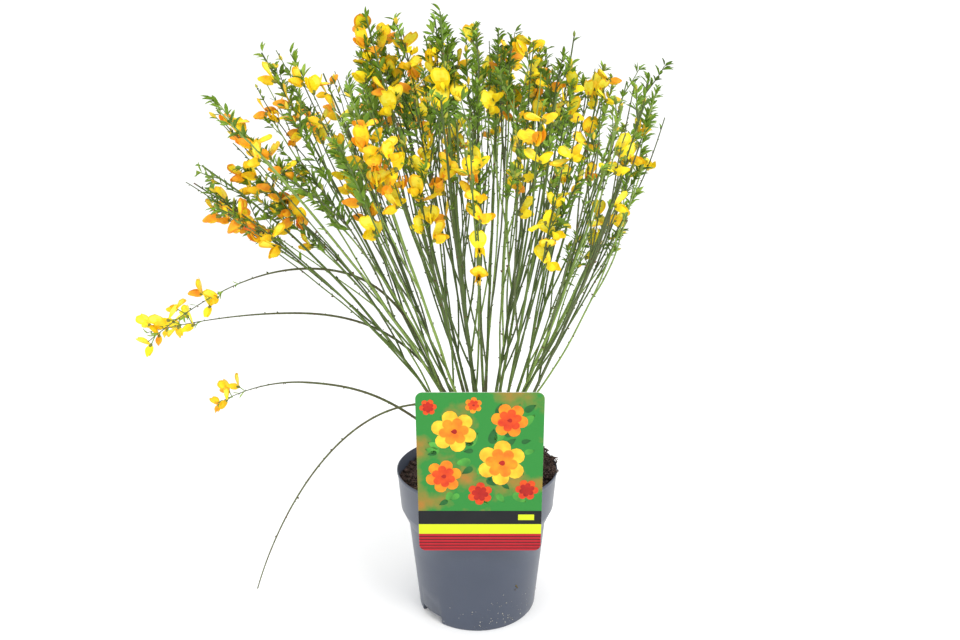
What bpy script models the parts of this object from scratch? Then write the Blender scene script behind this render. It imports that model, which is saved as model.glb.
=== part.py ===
"""A broom in flower, grown in a round plastic nursery pot with a picture label hooked on the rim.

Sizes are in metres and +Z is up. The label faces -Y. The origin is the middle of the pot's underside.
Slender green stems rise from a short woody trunk. Each main stem is a bough up to where it forks, and
above the fork a mass: its leading shoot, the shoots that branch off it, their leaves and their flowers.
"""

import math
import random

import bmesh
import bpy
import numpy as np
from mathutils import Vector

# Clearance between neighbouring solids
GAP = 0.0003

# Pot
POT_HEIGHT = 0.1545
RIM_RADIUS = 0.085
COLLAR_RADIUS = 0.0812
COLLAR_HEIGHT = 0.1147
NECK_RADIUS = 0.0733
NECK_HEIGHT = 0.0976
BASE_RADIUS = 0.063
WALL = 0.0011
LIP = 0.0008
FLOOR_HEIGHT = 0.009
PAD_RADIUS = 0.014
POT_SIDES = 36
NOTCH_AZIMUTHS = (220.0, 40.0)
NOTCH_WIDTH = 0.031
NOTCH_HEIGHT = 0.0085
DRAIN_COUNT = 6
DRAIN_RADIUS = 0.005
DRAIN_CIRCLE = 0.040

# Compost
COMPOST_TOP = 0.1425
COMPOST_ROUGHNESS = 0.0024
COMPOST_SIDES = 24
COMPOST_RINGS = 4
FLAT_RADIUS = 0.020
HEAP_AZIMUTH = 16.0
HEAP_HEIGHT = 0.014
HEAP_WIDTH = 0.024
CLOD_COUNT = 4
CLOD_RADIUS = 0.0085

# Label
LABEL_WIDTH = 0.117
LABEL_LENGTH = 0.1645
LABEL_THICKNESS = 0.0007
LABEL_CORNER = 0.0065
LABEL_LEAN = math.radians(4.5)
LABEL_BELOW_RIM = 0.0521
LABEL_OFFSET = 0.003
HOOK_WIDTH = 0.022
HOOK_DROP = 0.0060

# Trunk, on the compost
TRUNK_X = 0.005
TRUNK_FOOT = COMPOST_TOP + GAP
TRUNK_PROFILE = ((0.0, 0.0125), (0.003, 0.0095), (0.009, 0.0078), (0.018, 0.0076), (0.025, 0.0062))
STUB_RADIUS = 0.0029
STUB_DEPTH = 0.009
STUB_NECK = 0.0034

# Where stems leave the trunk: the ring's radius, and its height above the compost
RINGS = {"low": (0.0150, 0.0150), "mid": (0.0115, 0.0265), "top": (0.0050, 0.0345)}

# Main stems: name, azimuth, reach, tip height, bow in degrees, ring, shoots, spread, flowers.
# Reach and azimuth run from the pot's axis. A stem with a positive bow curves upward, one with a
# negative bow leans over more and more.
STEMS = (
    ("left_low", 186.0, 0.258, 0.466, -15.0, "low", 5, 0.034, 14),
    ("left_high", 180.0, 0.202, 0.570, -2.0, "mid", 4, 0.034, 8),
    ("left_front", 197.0, 0.232, 0.512, -8.0, "mid", 4, 0.036, 14),
    ("front_left", 230.0, 0.158, 0.530, 0.0, "low", 4, 0.036, 14),
    ("front", 258.0, 0.132, 0.514, 3.0, "mid", 4, 0.034, 12),
    ("front_right", 299.0, 0.132, 0.520, 5.0, "low", 4, 0.034, 12),
    ("right_front", 329.0, 0.145, 0.515, 7.0, "mid", 4, 0.034, 8),
    ("right_high", 359.0, 0.162, 0.545, 8.0, "low", 4, 0.028, 7),
    ("right_low", 14.0, 0.148, 0.425, 3.0, "mid", 4, 0.030, 9),
    ("right_back", 34.0, 0.163, 0.572, 6.0, "low", 4, 0.036, 9),
    ("back_right", 60.0, 0.165, 0.570, 5.0, "mid", 4, 0.036, 9),
    ("back", 92.0, 0.152, 0.580, 5.0, "low", 4, 0.036, 9),
    ("back_left", 124.0, 0.168, 0.580, 3.0, "mid", 4, 0.036, 10),
    ("left_back", 152.0, 0.185, 0.562, 0.0, "low", 4, 0.036, 11),
    ("inner_left", 185.0, 0.102, 0.598, 0.0, "top", 5, 0.034, 14),
    ("inner_front", 236.0, 0.055, 0.585, 2.0, "top", 4, 0.032, 9),
    ("inner_right", 340.0, 0.062, 0.580, 3.0, "top", 5, 0.034, 15),
    ("inner_back", 70.0, 0.064, 0.600, 2.0, "top", 4, 0.032, 8),
)
BOUGH_SHARE = 0.17
BOUGH_RADIUS = 0.0027
FORK_RADIUS = 0.0021
LEADER_TIP_RADIUS = 0.0008
SHOOT_RADIUS = 0.0013
SHOOT_TIP_RADIUS = 0.0006
FORKS = (0.01, 0.30)
SHOOT_LENGTHS = (0.74, 1.02)
TURN = math.radians(137.5)
BLOOM = (0.55, 0.95)
LEAFY = (0.50, 0.995)
LEAVES_PER_SHOOT = 2.3
STEM_STEPS = (4, 5)
SHOOT_STEPS = 4

# Arching stems: name, azimuth, reach and height of the apex, reach and height of the tip, ring,
# lean at the root, fall of the path at the tip in degrees below level, share of the falling half
# where the spray starts, flowers
ARCHES = (
    ("arch_high", 192.0, 0.168, 0.370, 0.312, 0.306, "mid", 24.0, 38.0, 0.36, 12),
    ("arch_middle", 179.0, 0.185, 0.319, 0.340, 0.298, "mid", 22.0, 14.0, 0.56, 8),
    ("arch_low", 170.0, 0.190, 0.236, 0.295, 0.206, "low", 52.0, 30.0, 0.60, 5),
    ("arch_drooping", 202.0, 0.070, 0.231, 0.230, 0.064, "low", 30.0, 72.0, 1.0, 0),
)
ARCH_RADII = (0.0019, 0.0014, 0.0007)
ARCH_STEPS = (9, 6)

# A leaf and a flower, drawn somewhat larger than life because few stand for many
LEAF_LENGTH = 0.015
LEAF_WIDTH = 0.0042
LEAF_THICKNESS = 0.0007
CLEAR_OF_SHOOT = 0.003
TRIES = 5
STALK = 0.007
KEEL_LENGTH = 0.015
KEEL_WIDTH = 0.0065
STANDARD_LENGTH = 0.020
STANDARD_WIDTH = 0.019
STANDARD_THICKNESS = 0.0009
SEED = 4100


def clear_scene():
    """An empty scene."""
    for obj in list(bpy.data.objects):
        bpy.data.objects.remove(obj)


def material(name, colour, roughness):
    """A plain, non-metallic finish."""
    made = bpy.data.materials.get(name) or bpy.data.materials.new(name)
    made.use_nodes = True
    shader = made.node_tree.nodes["Principled BSDF"]
    shader.inputs["Base Color"].default_value = (*colour, 1.0)
    shader.inputs["Roughness"].default_value = roughness
    shader.inputs["Metallic"].default_value = 0.0
    return made


def stood_up(name, verts, faces, finish):
    """An object from points and faces, its normals facing out."""
    bm = bmesh.new()
    points = [bm.verts.new(v) for v in verts]
    for face in faces:
        bm.faces.new([points[i] for i in face])
    bmesh.ops.recalc_face_normals(bm, faces=bm.faces)
    mesh = bpy.data.meshes.new(name)
    bm.to_mesh(mesh)
    bm.free()
    obj = bpy.data.objects.new(name, mesh)
    bpy.context.scene.collection.objects.link(obj)
    mesh.materials.append(finish)
    return obj


def turned(profile, sides):
    """Points and faces of a closed profile (radius, height) turned about the Z axis. It starts and ends on the axis."""
    verts, rings = [], []
    for radius, height in profile:
        if radius < 1e-9:
            rings.append([len(verts)])
            verts.append((0.0, 0.0, height))
            continue
        rings.append(list(range(len(verts), len(verts) + sides)))
        for k in range(sides):
            angle = 2 * math.pi * k / sides
            verts.append((radius * math.cos(angle), radius * math.sin(angle), height))
    faces = []
    for low, high in zip(rings, rings[1:]):
        for k in range(sides):
            n = (k + 1) % sides
            corners = [low[k % len(low)], low[n % len(low)], high[n % len(high)], high[k % len(high)]]
            faces.append(list(dict.fromkeys(corners)))
    return verts, faces


def tube(points, radii, sides, ends=(None, None)):
    """Points and faces of a round bar along a path. Its flat ends lie square to the path, or to ends."""
    verts, faces = [], []
    across = (points[1] - points[0]).orthogonal().normalized()
    for i, point in enumerate(points):
        ahead = points[min(i + 1, len(points) - 1)] - points[max(i - 1, 0)]
        if i == 0:
            ahead = ends[0] or ahead
        if i == len(points) - 1:
            ahead = ends[1] or ahead
        ahead = ahead.normalized()
        across = (across - ahead * across.dot(ahead)).normalized()
        up = ahead.cross(across)
        for k in range(sides):
            angle = 2 * math.pi * k / sides
            verts.append(point + (across * math.cos(angle) + up * math.sin(angle)) * radii[i])
    for i in range(len(points) - 1):
        for k in range(sides):
            n = (k + 1) % sides
            faces.append([i * sides + k, i * sides + n, (i + 1) * sides + n, (i + 1) * sides + k])
    last = (len(points) - 1) * sides
    faces.append(list(range(sides))[::-1])
    faces.append(list(range(last, last + sides)))
    return verts, faces


def blade(root, tip, across, width, thickness, widest):
    """Points and faces of a thin pointed blade with a ridge on its back, widest at that share of its length."""
    along = tip - root
    across = (across - along * across.dot(along) / along.length_squared).normalized()
    ridge = along.cross(across).normalized() * thickness
    middle = root + along * widest
    ring = [middle + across * width / 2, middle + ridge, middle - across * width / 2]
    faces = []
    for k in range(3):
        n = (k + 1) % 3
        faces += [[0, 2 + k, 2 + n], [1, 2 + n, 2 + k]]
    return [root, tip, *ring], faces


def carve(obj, cutters, solver):
    """Cuts the cutters, given as points and faces, out of obj."""
    group = bpy.data.collections.new("cutters")
    bpy.context.scene.collection.children.link(group)
    for i, (verts, faces) in enumerate(cutters):
        cutter = stood_up(f"cutter_{i}", verts, faces, obj.data.materials[0])
        bpy.context.scene.collection.objects.unlink(cutter)
        group.objects.link(cutter)
    apply_boolean(obj, group, "DIFFERENCE", solver)


def fuse(obj, solids, solver):
    """Joins the solids, given as points and faces, to obj."""
    group = bpy.data.collections.new("solids")
    bpy.context.scene.collection.children.link(group)
    for i, (verts, faces) in enumerate(solids):
        solid = stood_up(f"solid_{i}", verts, faces, obj.data.materials[0])
        bpy.context.scene.collection.objects.unlink(solid)
        group.objects.link(solid)
    apply_boolean(obj, group, "UNION", solver)


def apply_boolean(obj, group, operation, solver):
    """Applies one Boolean with everything in the group, then removes the group."""
    modifier = obj.modifiers.new("joined", "BOOLEAN")
    modifier.operation = operation
    modifier.solver = solver
    modifier.operand_type = "COLLECTION"
    modifier.collection = group
    graph = bpy.context.evaluated_depsgraph_get()
    result = bpy.data.meshes.new_from_object(obj.evaluated_get(graph))
    obj.modifiers.clear()
    obj.data = result
    for member in list(group.objects):
        bpy.data.objects.remove(member)
    bpy.data.collections.remove(group)


def keep_main_body(obj):
    """Drops any loose scrap that a union has left."""
    bm = bmesh.new()
    bm.from_mesh(obj.data)
    bodies, seen = [], set()
    for start in bm.verts:
        if start in seen:
            continue
        body, waiting = set(), [start]
        while waiting:
            vert = waiting.pop()
            if vert in body:
                continue
            body.add(vert)
            waiting.extend(edge.other_vert(vert) for edge in vert.link_edges)
        seen |= body
        bodies.append(body)
    bodies.sort(key=len)
    scraps = [vert for body in bodies[:-1] for vert in body]
    bmesh.ops.delete(bm, geom=scraps, context="VERTS")
    bm.to_mesh(obj.data)
    bm.free()
    if scraps:
        print(obj.name, "dropped", len(bodies) - 1, "scraps")


def outward(azimuth):
    """The level direction at an azimuth in degrees."""
    return Vector((math.cos(math.radians(azimuth)), math.sin(math.radians(azimuth)), 0.0))


def box(centre, out, side, half_out, half_side, low, high):
    """Points and faces of an upright box turned to an outward direction."""
    verts = []
    for height in (low, high):
        for a, b in ((-1, -1), (1, -1), (1, 1), (-1, 1)):
            point = centre + out * half_out * a + side * half_side * b
            verts.append(Vector((point.x, point.y, height)))
    faces = [[3, 2, 1, 0], [4, 5, 6, 7]]
    faces += [[k, (k + 1) % 4, 4 + (k + 1) % 4, 4 + k] for k in range(4)]
    return verts, faces


def pot_lining(offset):
    """The pot's inner profile from the middle of its floor to its mouth, moved inwards by the offset."""
    floor = FLOOR_HEIGHT + WALL + offset
    dip = PAD_RADIUS - WALL - offset
    return [
        (0.0, WALL + offset),
        (dip, WALL + offset),
        (dip + 0.002, floor),
        (BASE_RADIUS - WALL - offset, floor),
        (NECK_RADIUS - WALL - offset, NECK_HEIGHT + offset / 2),
        (COLLAR_RADIUS - WALL - offset, COLLAR_HEIGHT + offset / 2),
    ]


def make_pot():
    """A thin-walled pot with a collar, a raised floor on a foot ring and a central pad, and drain holes."""
    foot = 0.0022
    profile = [
        (0.0, 0.0),
        (PAD_RADIUS, 0.0),
        (PAD_RADIUS + 0.002, FLOOR_HEIGHT),
        (BASE_RADIUS - foot - 0.0004, FLOOR_HEIGHT),
        (BASE_RADIUS - foot, 0.0),
        (BASE_RADIUS - 0.0006, 0.0),
        (BASE_RADIUS, 0.0012),
        (NECK_RADIUS, NECK_HEIGHT),
        (COLLAR_RADIUS, COLLAR_HEIGHT),
        (RIM_RADIUS - LIP, POT_HEIGHT - 0.0035),
        (RIM_RADIUS, POT_HEIGHT - 0.0030),
        (RIM_RADIUS, POT_HEIGHT - 0.0006),
        (RIM_RADIUS - 0.0006, POT_HEIGHT),
        (RIM_RADIUS - WALL, POT_HEIGHT),
        *reversed(pot_lining(0.0)),
    ]
    pot = stood_up("pot", *turned(profile, POT_SIDES), material("grey_plastic", (0.13, 0.14, 0.17), 0.38))
    cutters = []
    for azimuth in NOTCH_AZIMUTHS:
        out, side = outward(azimuth), outward(azimuth + 90.0)
        centre = out * BASE_RADIUS
        cutters.append(box(centre, out, side, 0.006, NOTCH_WIDTH / 2, -0.001, NOTCH_HEIGHT))
    for k in range(DRAIN_COUNT):
        centre = outward(360.0 * (k + 0.5) / DRAIN_COUNT) * DRAIN_CIRCLE
        low = Vector((centre.x, centre.y, FLOOR_HEIGHT - 0.002))
        high = Vector((centre.x, centre.y, FLOOR_HEIGHT + WALL + 0.002))
        cutters.append(tube([low, high], [DRAIN_RADIUS] * 2, 8))
    carve(pot, cutters, "EXACT")
    return pot


def compost_level(x, y):
    """Height of the compost's rough surface: level round the trunk, lumpy outside, heaped on the right."""
    radius = math.hypot(x, y)
    lumps = math.sin(231.0 * x + 1.3) * math.cos(197.0 * y - 0.4) + 0.6 * math.sin(410.0 * (x + y))
    rough = min(1.0, max(0.0, (radius - FLAT_RADIUS) / 0.012))
    heap = outward(HEAP_AZIMUTH) * (RIM_RADIUS - 0.010)
    spread = ((x - heap.x) ** 2 + (y - heap.y) ** 2) / HEAP_WIDTH**2
    return COMPOST_TOP + rough * (COMPOST_ROUGHNESS * lumps + HEAP_HEIGHT * math.exp(-spread))


def clod(rng, centre, radius):
    """Points and faces of one rough lump."""
    bm = bmesh.new()
    bmesh.ops.create_icosphere(bm, subdivisions=1, radius=radius)
    verts = [centre + vert.co * rng.uniform(0.75, 1.15) for vert in bm.verts]
    faces = [[vert.index for vert in face.verts] for face in bm.faces]
    bm.free()
    return verts, faces


def make_compost():
    """The compost fills the pot. A few clods lie on the rim over its heaped side."""
    share = (COMPOST_TOP - COMPOST_ROUGHNESS - COLLAR_HEIGHT) / (POT_HEIGHT - COLLAR_HEIGHT)
    edge = COLLAR_RADIUS - WALL + (RIM_RADIUS - COLLAR_RADIUS) * share - 2 * GAP
    lowest = COMPOST_TOP - COMPOST_ROUGHNESS - GAP
    verts, faces = turned([*pot_lining(GAP), (edge, lowest)], COMPOST_SIDES)
    rim = list(range(len(verts) - COMPOST_SIDES, len(verts)))
    for index in rim:
        x, y, _ = verts[index]
        verts[index] = (x, y, max(lowest, compost_level(x, y) - COMPOST_ROUGHNESS))
    for ring in range(COMPOST_RINGS - 1, -1, -1):
        inner = list(range(len(verts), len(verts) + COMPOST_SIDES))
        for k in range(COMPOST_SIDES):
            angle = 2 * math.pi * k / COMPOST_SIDES
            radius = FLAT_RADIUS + (edge - FLAT_RADIUS) * ring / COMPOST_RINGS
            x, y = radius * math.cos(angle), radius * math.sin(angle)
            verts.append((x, y, compost_level(x, y)))
        for k in range(COMPOST_SIDES):
            n = (k + 1) % COMPOST_SIDES
            faces.append([rim[k], rim[n], inner[n], inner[k]])
        rim = inner
    faces.append(rim)
    compost = stood_up("compost", verts, faces, material("compost", (0.030, 0.021, 0.016), 0.95))
    rng = random.Random(SEED)
    clods = []
    for k in range(CLOD_COUNT):
        azimuth = HEAP_AZIMUTH + 19.0 * (k - (CLOD_COUNT - 1) / 2)
        at = outward(azimuth) * (RIM_RADIUS - 0.0055 + 0.0025 * (k % 2))
        clods.append(clod(rng, at + Vector((0, 0, POT_HEIGHT - 0.0015)), CLOD_RADIUS))
    fuse(compost, clods, "MANIFOLD")
    clearance = GAP * 1.5
    profile = [
        (COLLAR_RADIUS - WALL - clearance, COLLAR_HEIGHT),
        (RIM_RADIUS - WALL - clearance, POT_HEIGHT),
        (RIM_RADIUS - WALL - clearance, POT_HEIGHT + clearance),
        (RIM_RADIUS + clearance, POT_HEIGHT + clearance),
        (RIM_RADIUS + clearance, COLLAR_HEIGHT),
    ]
    verts, faces = turned([*profile, profile[0]], POT_SIDES)
    last = len(verts) - POT_SIDES
    wall = [[i % last for i in face] for face in faces]
    carve(compost, [(verts[:last], wall)], "MANIFOLD")
    keep_main_body(compost)
    return compost


def make_label():
    """A printed plastic card in front of the pot, hooked over the rim by a strip behind it."""
    down = Vector((0.0, math.sin(LABEL_LEAN), -math.cos(LABEL_LEAN)))
    side = Vector((1.0, 0.0, 0.0))
    front = side.cross(-down)
    front = front if front.y < 0 else -front
    touch = Vector((LABEL_OFFSET, -(RIM_RADIUS + GAP), POT_HEIGHT - 0.0018))
    bottom = touch + down * (LABEL_BELOW_RIM - 0.0018)
    outline = []
    for a, b, turn in ((1, 0, -90), (1, 1, 0), (-1, 1, 90), (-1, 0, 180)):
        centre_x = a * (LABEL_WIDTH / 2 - LABEL_CORNER)
        centre_z = LABEL_CORNER if b == 0 else LABEL_LENGTH - LABEL_CORNER
        for step in range(4):
            angle = math.radians(turn + 30 * step)
            x = centre_x + LABEL_CORNER * math.cos(angle)
            z = centre_z + LABEL_CORNER * math.sin(angle)
            outline.append(bottom + side * x - down * z)
    count = len(outline)
    verts = outline + [point + front * LABEL_THICKNESS for point in outline]
    faces = [list(range(count)), list(range(count, 2 * count))[::-1]]
    faces += [[k, (k + 1) % count, count + (k + 1) % count, count + k] for k in range(count)]
    label = stood_up("label", verts, faces, material("printed_card", (0.22, 0.45, 0.13), 0.35))
    over = POT_HEIGHT + GAP
    taper = (RIM_RADIUS - COLLAR_RADIUS) * HOOK_DROP / (POT_HEIGHT - COLLAR_HEIGHT)
    wall = (RIM_RADIUS - WALL - taper) * math.cos(math.pi / POT_SIDES)
    inner = -(math.sqrt(wall**2 - (LABEL_OFFSET + HOOK_WIDTH / 2) ** 2) - GAP - LABEL_THICKNESS)
    outer = touch.y - 0.0006
    top, low = over + LABEL_THICKNESS, POT_HEIGHT - HOOK_DROP
    path = [(outer, over), (outer, top), (inner, top), (inner, low)]
    path += [(inner - LABEL_THICKNESS, low), (inner - LABEL_THICKNESS, over)]
    verts = [(LABEL_OFFSET + s * HOOK_WIDTH / 2, y, z) for s in (-1, 1) for y, z in path]
    count = len(path)
    faces = [[0, 1, 2, 5], [2, 3, 4, 5], [6, 11, 8, 7], [8, 11, 10, 9]]
    faces += [[k, (k + 1) % count, count + (k + 1) % count, count + k] for k in range(count)]
    fuse(label, [(verts, faces)], "EXACT")
    return label


def along(curve, t):
    """The point at t from 0 to 1 on a Bezier curve of four points."""
    a, b, c, d = curve
    s = 1.0 - t
    return a * s**3 + b * (3 * s * s * t) + c * (3 * s * t * t) + d * t**3


def heading(curve, t):
    """The slope of the curve at t, in metres per unit of t."""
    a, b, c, d = curve
    s = 1.0 - t
    return (b - a) * (3 * s * s) + (c - b) * (6 * s * t) + (d - c) * (3 * t * t)


def leaning(out, lean):
    """The direction that leans from upright by that many degrees."""
    angle = math.radians(lean)
    return out * math.sin(angle) + Vector((0.0, 0.0, math.cos(angle)))


def stem_roots():
    """Where each stem leaves the trunk. Those of one ring stand evenly round it, in order of azimuth."""
    found = {}
    for ring, (radius, height) in RINGS.items():
        members = [(stem[1], stem[0]) for stem in STEMS if stem[5] == ring]
        members += [(arch[1], arch[0]) for arch in ARCHES if arch[6] == ring]
        members.sort()
        step = 360.0 / len(members)
        turn = sum(azimuth - step * k for k, (azimuth, _) in enumerate(members)) / len(members)
        for k, (_, name) in enumerate(members):
            centre = Vector((TRUNK_X, 0.0, COMPOST_TOP + height))
            found[name] = centre + outward(turn + step * k) * radius
    return found


def stem_curve(root, azimuth, reach, height, bow):
    """The path of a main stem from the trunk to its tip."""
    tip = outward(azimuth) * reach + Vector((0.0, 0.0, height))
    chord = tip - root
    out = Vector((chord.x, chord.y, 0.0)).normalized()
    lean = math.degrees(math.atan2(chord.dot(out), chord.z))
    third = chord.length / 3
    return root, root + leaning(out, lean + bow) * third, tip - leaning(out, lean - bow) * third, tip


def arch_curves(root, azimuth, apex_reach, apex_height, tip_reach, tip_height, lean, drop):
    """The rising and the falling half of an arching stem."""
    out = outward(azimuth)
    apex = out * apex_reach + Vector((0.0, 0.0, apex_height))
    tip = out * tip_reach + Vector((0.0, 0.0, tip_height))
    rise, fall = (apex - root).length, (tip - apex).length
    up = (root, root + leaning(out, lean) * rise * 0.5, apex - out * rise * 0.38, apex)
    down = (apex, apex + out * fall * 0.36, tip - leaning(out, 90.0 + drop) * fall * 0.3, tip)
    return up, down


def run(curve, start, end, steps, radii):
    """Points and radii along part of a curve, and its directions at both ends. It stops half a gap short of a cut."""
    first = start + (GAP / 2 / heading(curve, start).length if start > 0 else 0.0)
    last = end - (GAP / 2 / heading(curve, end).length if end < 1 else 0.0)
    shares = [i / steps for i in range(steps + 1)]
    points = [along(curve, first + (last - first) * share) for share in shares]
    thickness = [radii[0] + (radii[1] - radii[0]) * share for share in shares]
    return points, thickness, (heading(curve, start), heading(curve, end))


def all_curves():
    """The paths of all main stems by name, and the two halves of each arching stem."""
    roots = stem_roots()
    stems = {stem[0]: stem_curve(roots[stem[0]], *stem[1:5]) for stem in STEMS}
    arches = {arch[0]: arch_curves(roots[arch[0]], *arch[1:6], *arch[7:9]) for arch in ARCHES}
    return stems, arches


def make_trunk(stems, arches):
    """The short woody trunk: a flared foot, and a stub for each stem."""
    profile = [(0.0, 0.0), *((radius, height) for height, radius in TRUNK_PROFILE)]
    profile.append((0.0, TRUNK_PROFILE[-1][0] + 0.004))
    verts, faces = turned(profile, 12)
    verts = [Vector(vert) + Vector((TRUNK_X, 0.0, TRUNK_FOOT)) for vert in verts]
    trunk = stood_up("trunk", verts, faces, material("bark", (0.10, 0.075, 0.045), 0.85))
    stubs = []
    for curve in [*stems.values(), *(rise for rise, _ in arches.values())]:
        way = (curve[1] - curve[0]).normalized()
        heart = Vector((TRUNK_X, 0.0, curve[0].z - STUB_DEPTH))
        path = [heart, curve[0] - way * STUB_NECK, curve[0] - way * GAP]
        stubs.append(tube(path, [STUB_RADIUS] * 3, 4))
    fuse(trunk, stubs, "MANIFOLD")
    keep_main_body(trunk)
    return trunk


class Space:
    """The room that limbs, twigs, leaves and flowers already take, as rods with a radius and an owner."""

    def __init__(self):
        self.starts, self.ends, self.radii, self.owners = [], [], [], []

    def take(self, owner, rods):
        """Claims rods, each (start, end, radius)."""
        for start, end, radius in rods:
            self.starts.append(tuple(start))
            self.ends.append(tuple(end))
            self.radii.append(radius)
            self.owners.append(owner)

    def is_clear(self, owner, rods, margin):
        """Whether the rods keep that margin to all rods of other owners."""
        others = np.array([name != owner for name in self.owners], bool)
        if not others.any():
            return True
        starts, ends = np.array(self.starts)[others], np.array(self.ends)[others]
        radii = np.array(self.radii)[others]
        for start, end, radius in rods:
            distance = rod_distance(np.array(start), np.array(end), starts, ends)
            if (distance < radii + radius + margin).any():
                return False
        return True


def rod_distance(start, end, starts, ends):
    """The distance from one line segment to each of many."""
    d1, d2, r = end - start, ends - starts, start - starts
    a, e = max(float(d1 @ d1), 1e-12), np.maximum((d2 * d2).sum(1), 1e-12)
    f, c, b = (d2 * r).sum(1), r @ d1, d2 @ d1
    denominator = np.maximum(a * e - b * b, 1e-18)
    s = np.clip((b * f - c * e) / denominator, 0.0, 1.0)
    t = np.clip((b * s + f) / e, 0.0, 1.0)
    s = np.clip((b * t - c) / a, 0.0, 1.0)
    nearest = start + s[:, None] * d1 - (starts + t[:, None] * d2)
    return np.sqrt((nearest * nearest).sum(1))


def rods_along(points, radii):
    """The rods that a tube fills."""
    pairs = zip(points, points[1:], radii, radii[1:])
    return [(a, b, max(r, s)) for a, b, r, s in pairs]


def shoots_of(stem, leader, index):
    """The shoots of one mass as Bezier curves."""
    azimuth, count, spread = stem[1], stem[6], stem[7]
    rng = random.Random(SEED + index)
    side, found = outward(azimuth + 90.0), []
    out = outward(azimuth)
    first = rng.uniform(0.0, 2 * math.pi)
    for k in range(count):
        rise = FORKS[0] + (FORKS[1] - FORKS[0]) * (k + rng.random()) / count
        fork = BOUGH_SHARE + (1.0 - BOUGH_SHARE) * rise
        start, ahead = along(leader, fork), heading(leader, fork).normalized()
        angle = first + TURN * k + rng.uniform(-0.3, 0.3)
        drift = (side * math.cos(angle) + out * math.sin(angle) * 0.9) * spread * rng.uniform(0.75, 1.1)
        tip = start + (leader[3] - start) * rng.uniform(*SHOOT_LENGTHS) + drift
        third = (tip - start).length / 3
        turn_out = (ahead + drift.normalized() * 0.30).normalized()
        end_way = (heading(leader, 1.0).normalized() + drift.normalized() * 0.10).normalized()
        found.append((start, start + turn_out * third, tip - end_way * third, tip))
    return found


def leaf_at(rng, curve, t, radius):
    """A leaf that stands off a shoot: its blade as points and faces, and the rods it fills."""
    point, ahead = along(curve, t), heading(curve, t).normalized()
    angle = rng.uniform(0.0, 2 * math.pi)
    across = ahead.orthogonal().normalized()
    away = across * math.cos(angle) + ahead.cross(across) * math.sin(angle)
    way = (ahead + away * rng.uniform(0.55, 1.0)).normalized()
    tip = point + way * LEAF_LENGTH * rng.uniform(0.8, 1.1)
    root = point - way * radius * 0.3
    solid = blade(root, tip, ahead.cross(away), LEAF_WIDTH, LEAF_THICKNESS, 0.5)
    return (solid,), [(point + way * CLEAR_OF_SHOOT, tip, LEAF_WIDTH / 2)]


def flower_at(rng, curve, t, radius):
    """A pea flower: a keel on its stalk, and the broad standard bent back above it."""
    point, ahead = along(curve, t), heading(curve, t).normalized()
    angle = rng.uniform(0.0, 2 * math.pi)
    across = ahead.orthogonal().normalized()
    away = across * math.cos(angle) + ahead.cross(across) * math.sin(angle)
    way = (ahead * rng.uniform(0.2, 0.7) + away).normalized()
    side = way.cross(Vector((0.0, 0.0, 1.0))).normalized()
    above = side.cross(way).normalized()
    throat = point + way * STALK
    keel_tip = throat + (way - above * 0.25).normalized() * KEEL_LENGTH
    standard_tip = throat + (above + way * 0.35).normalized() * STANDARD_LENGTH
    root = point - way * radius * 0.3
    keel = blade(root, keel_tip, side, KEEL_WIDTH * 0.8, KEEL_WIDTH, 0.62)
    heart = throat - (standard_tip - throat).normalized() * 0.0015
    standard = blade(heart, standard_tip, side, STANDARD_WIDTH, STANDARD_THICKNESS, 0.55)
    middle = heart.lerp(standard_tip, 0.55)
    rods = [(point + way * CLEAR_OF_SHOOT, keel_tip, KEEL_WIDTH / 2), (throat, standard_tip, 0.003)]
    rods += [(throat, middle + side * sign * (STANDARD_WIDTH / 2 - 0.002), 0.003) for sign in (-1, 1)]
    return (keel, standard), rods


def dress(owner, rng, curves, radii, flowers, leaves, space):
    """Leaves and flowers along the shoots, as solids. Each is tried in a few places and left out if none is free."""
    solids, near = [], Space()
    for make, count, (low, high), skew in (
        (flower_at, flowers, BLOOM, 1.0),
        (leaf_at, leaves, LEAFY, 0.6),
    ):
        for k in range(count):
            curve, start = curves[k % len(curves)]
            for _ in range(TRIES):
                t = start + (1.0 - start) * (low + (high - low) * rng.random() ** skew)
                radius = radii[0] + (radii[1] - radii[0]) * t
                parts, rods = make(rng, curve, t, radius)
                if space.is_clear(owner, rods, 2 * GAP) and near.is_clear(None, rods, 0.0):
                    space.take(owner, rods)
                    near.take(owner, rods)
                    solids.extend(parts)
                    break
    return solids


def make_stems(stems, space):
    """The boughs, and above each the leader of its mass, which the shoots, leaves and flowers grow on."""
    green = material("green_bark", (0.12, 0.17, 0.06), 0.6)
    leaders = {}
    for name, curve in stems.items():
        points, radii, ends = run(curve, 0.0, BOUGH_SHARE, STEM_STEPS[0], (BOUGH_RADIUS, FORK_RADIUS))
        stood_up(f"bough_{name}", *tube(points, radii, 5, ends), green)
        space.take(f"bough_{name}", rods_along(points, radii))
        points, radii, ends = run(curve, BOUGH_SHARE, 1.0, STEM_STEPS[1], (FORK_RADIUS, LEADER_TIP_RADIUS))
        space.take(f"mass_{name}", rods_along(points, radii))
        leaders[name] = tube(points, radii, 4, ends)
    return leaders


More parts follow.
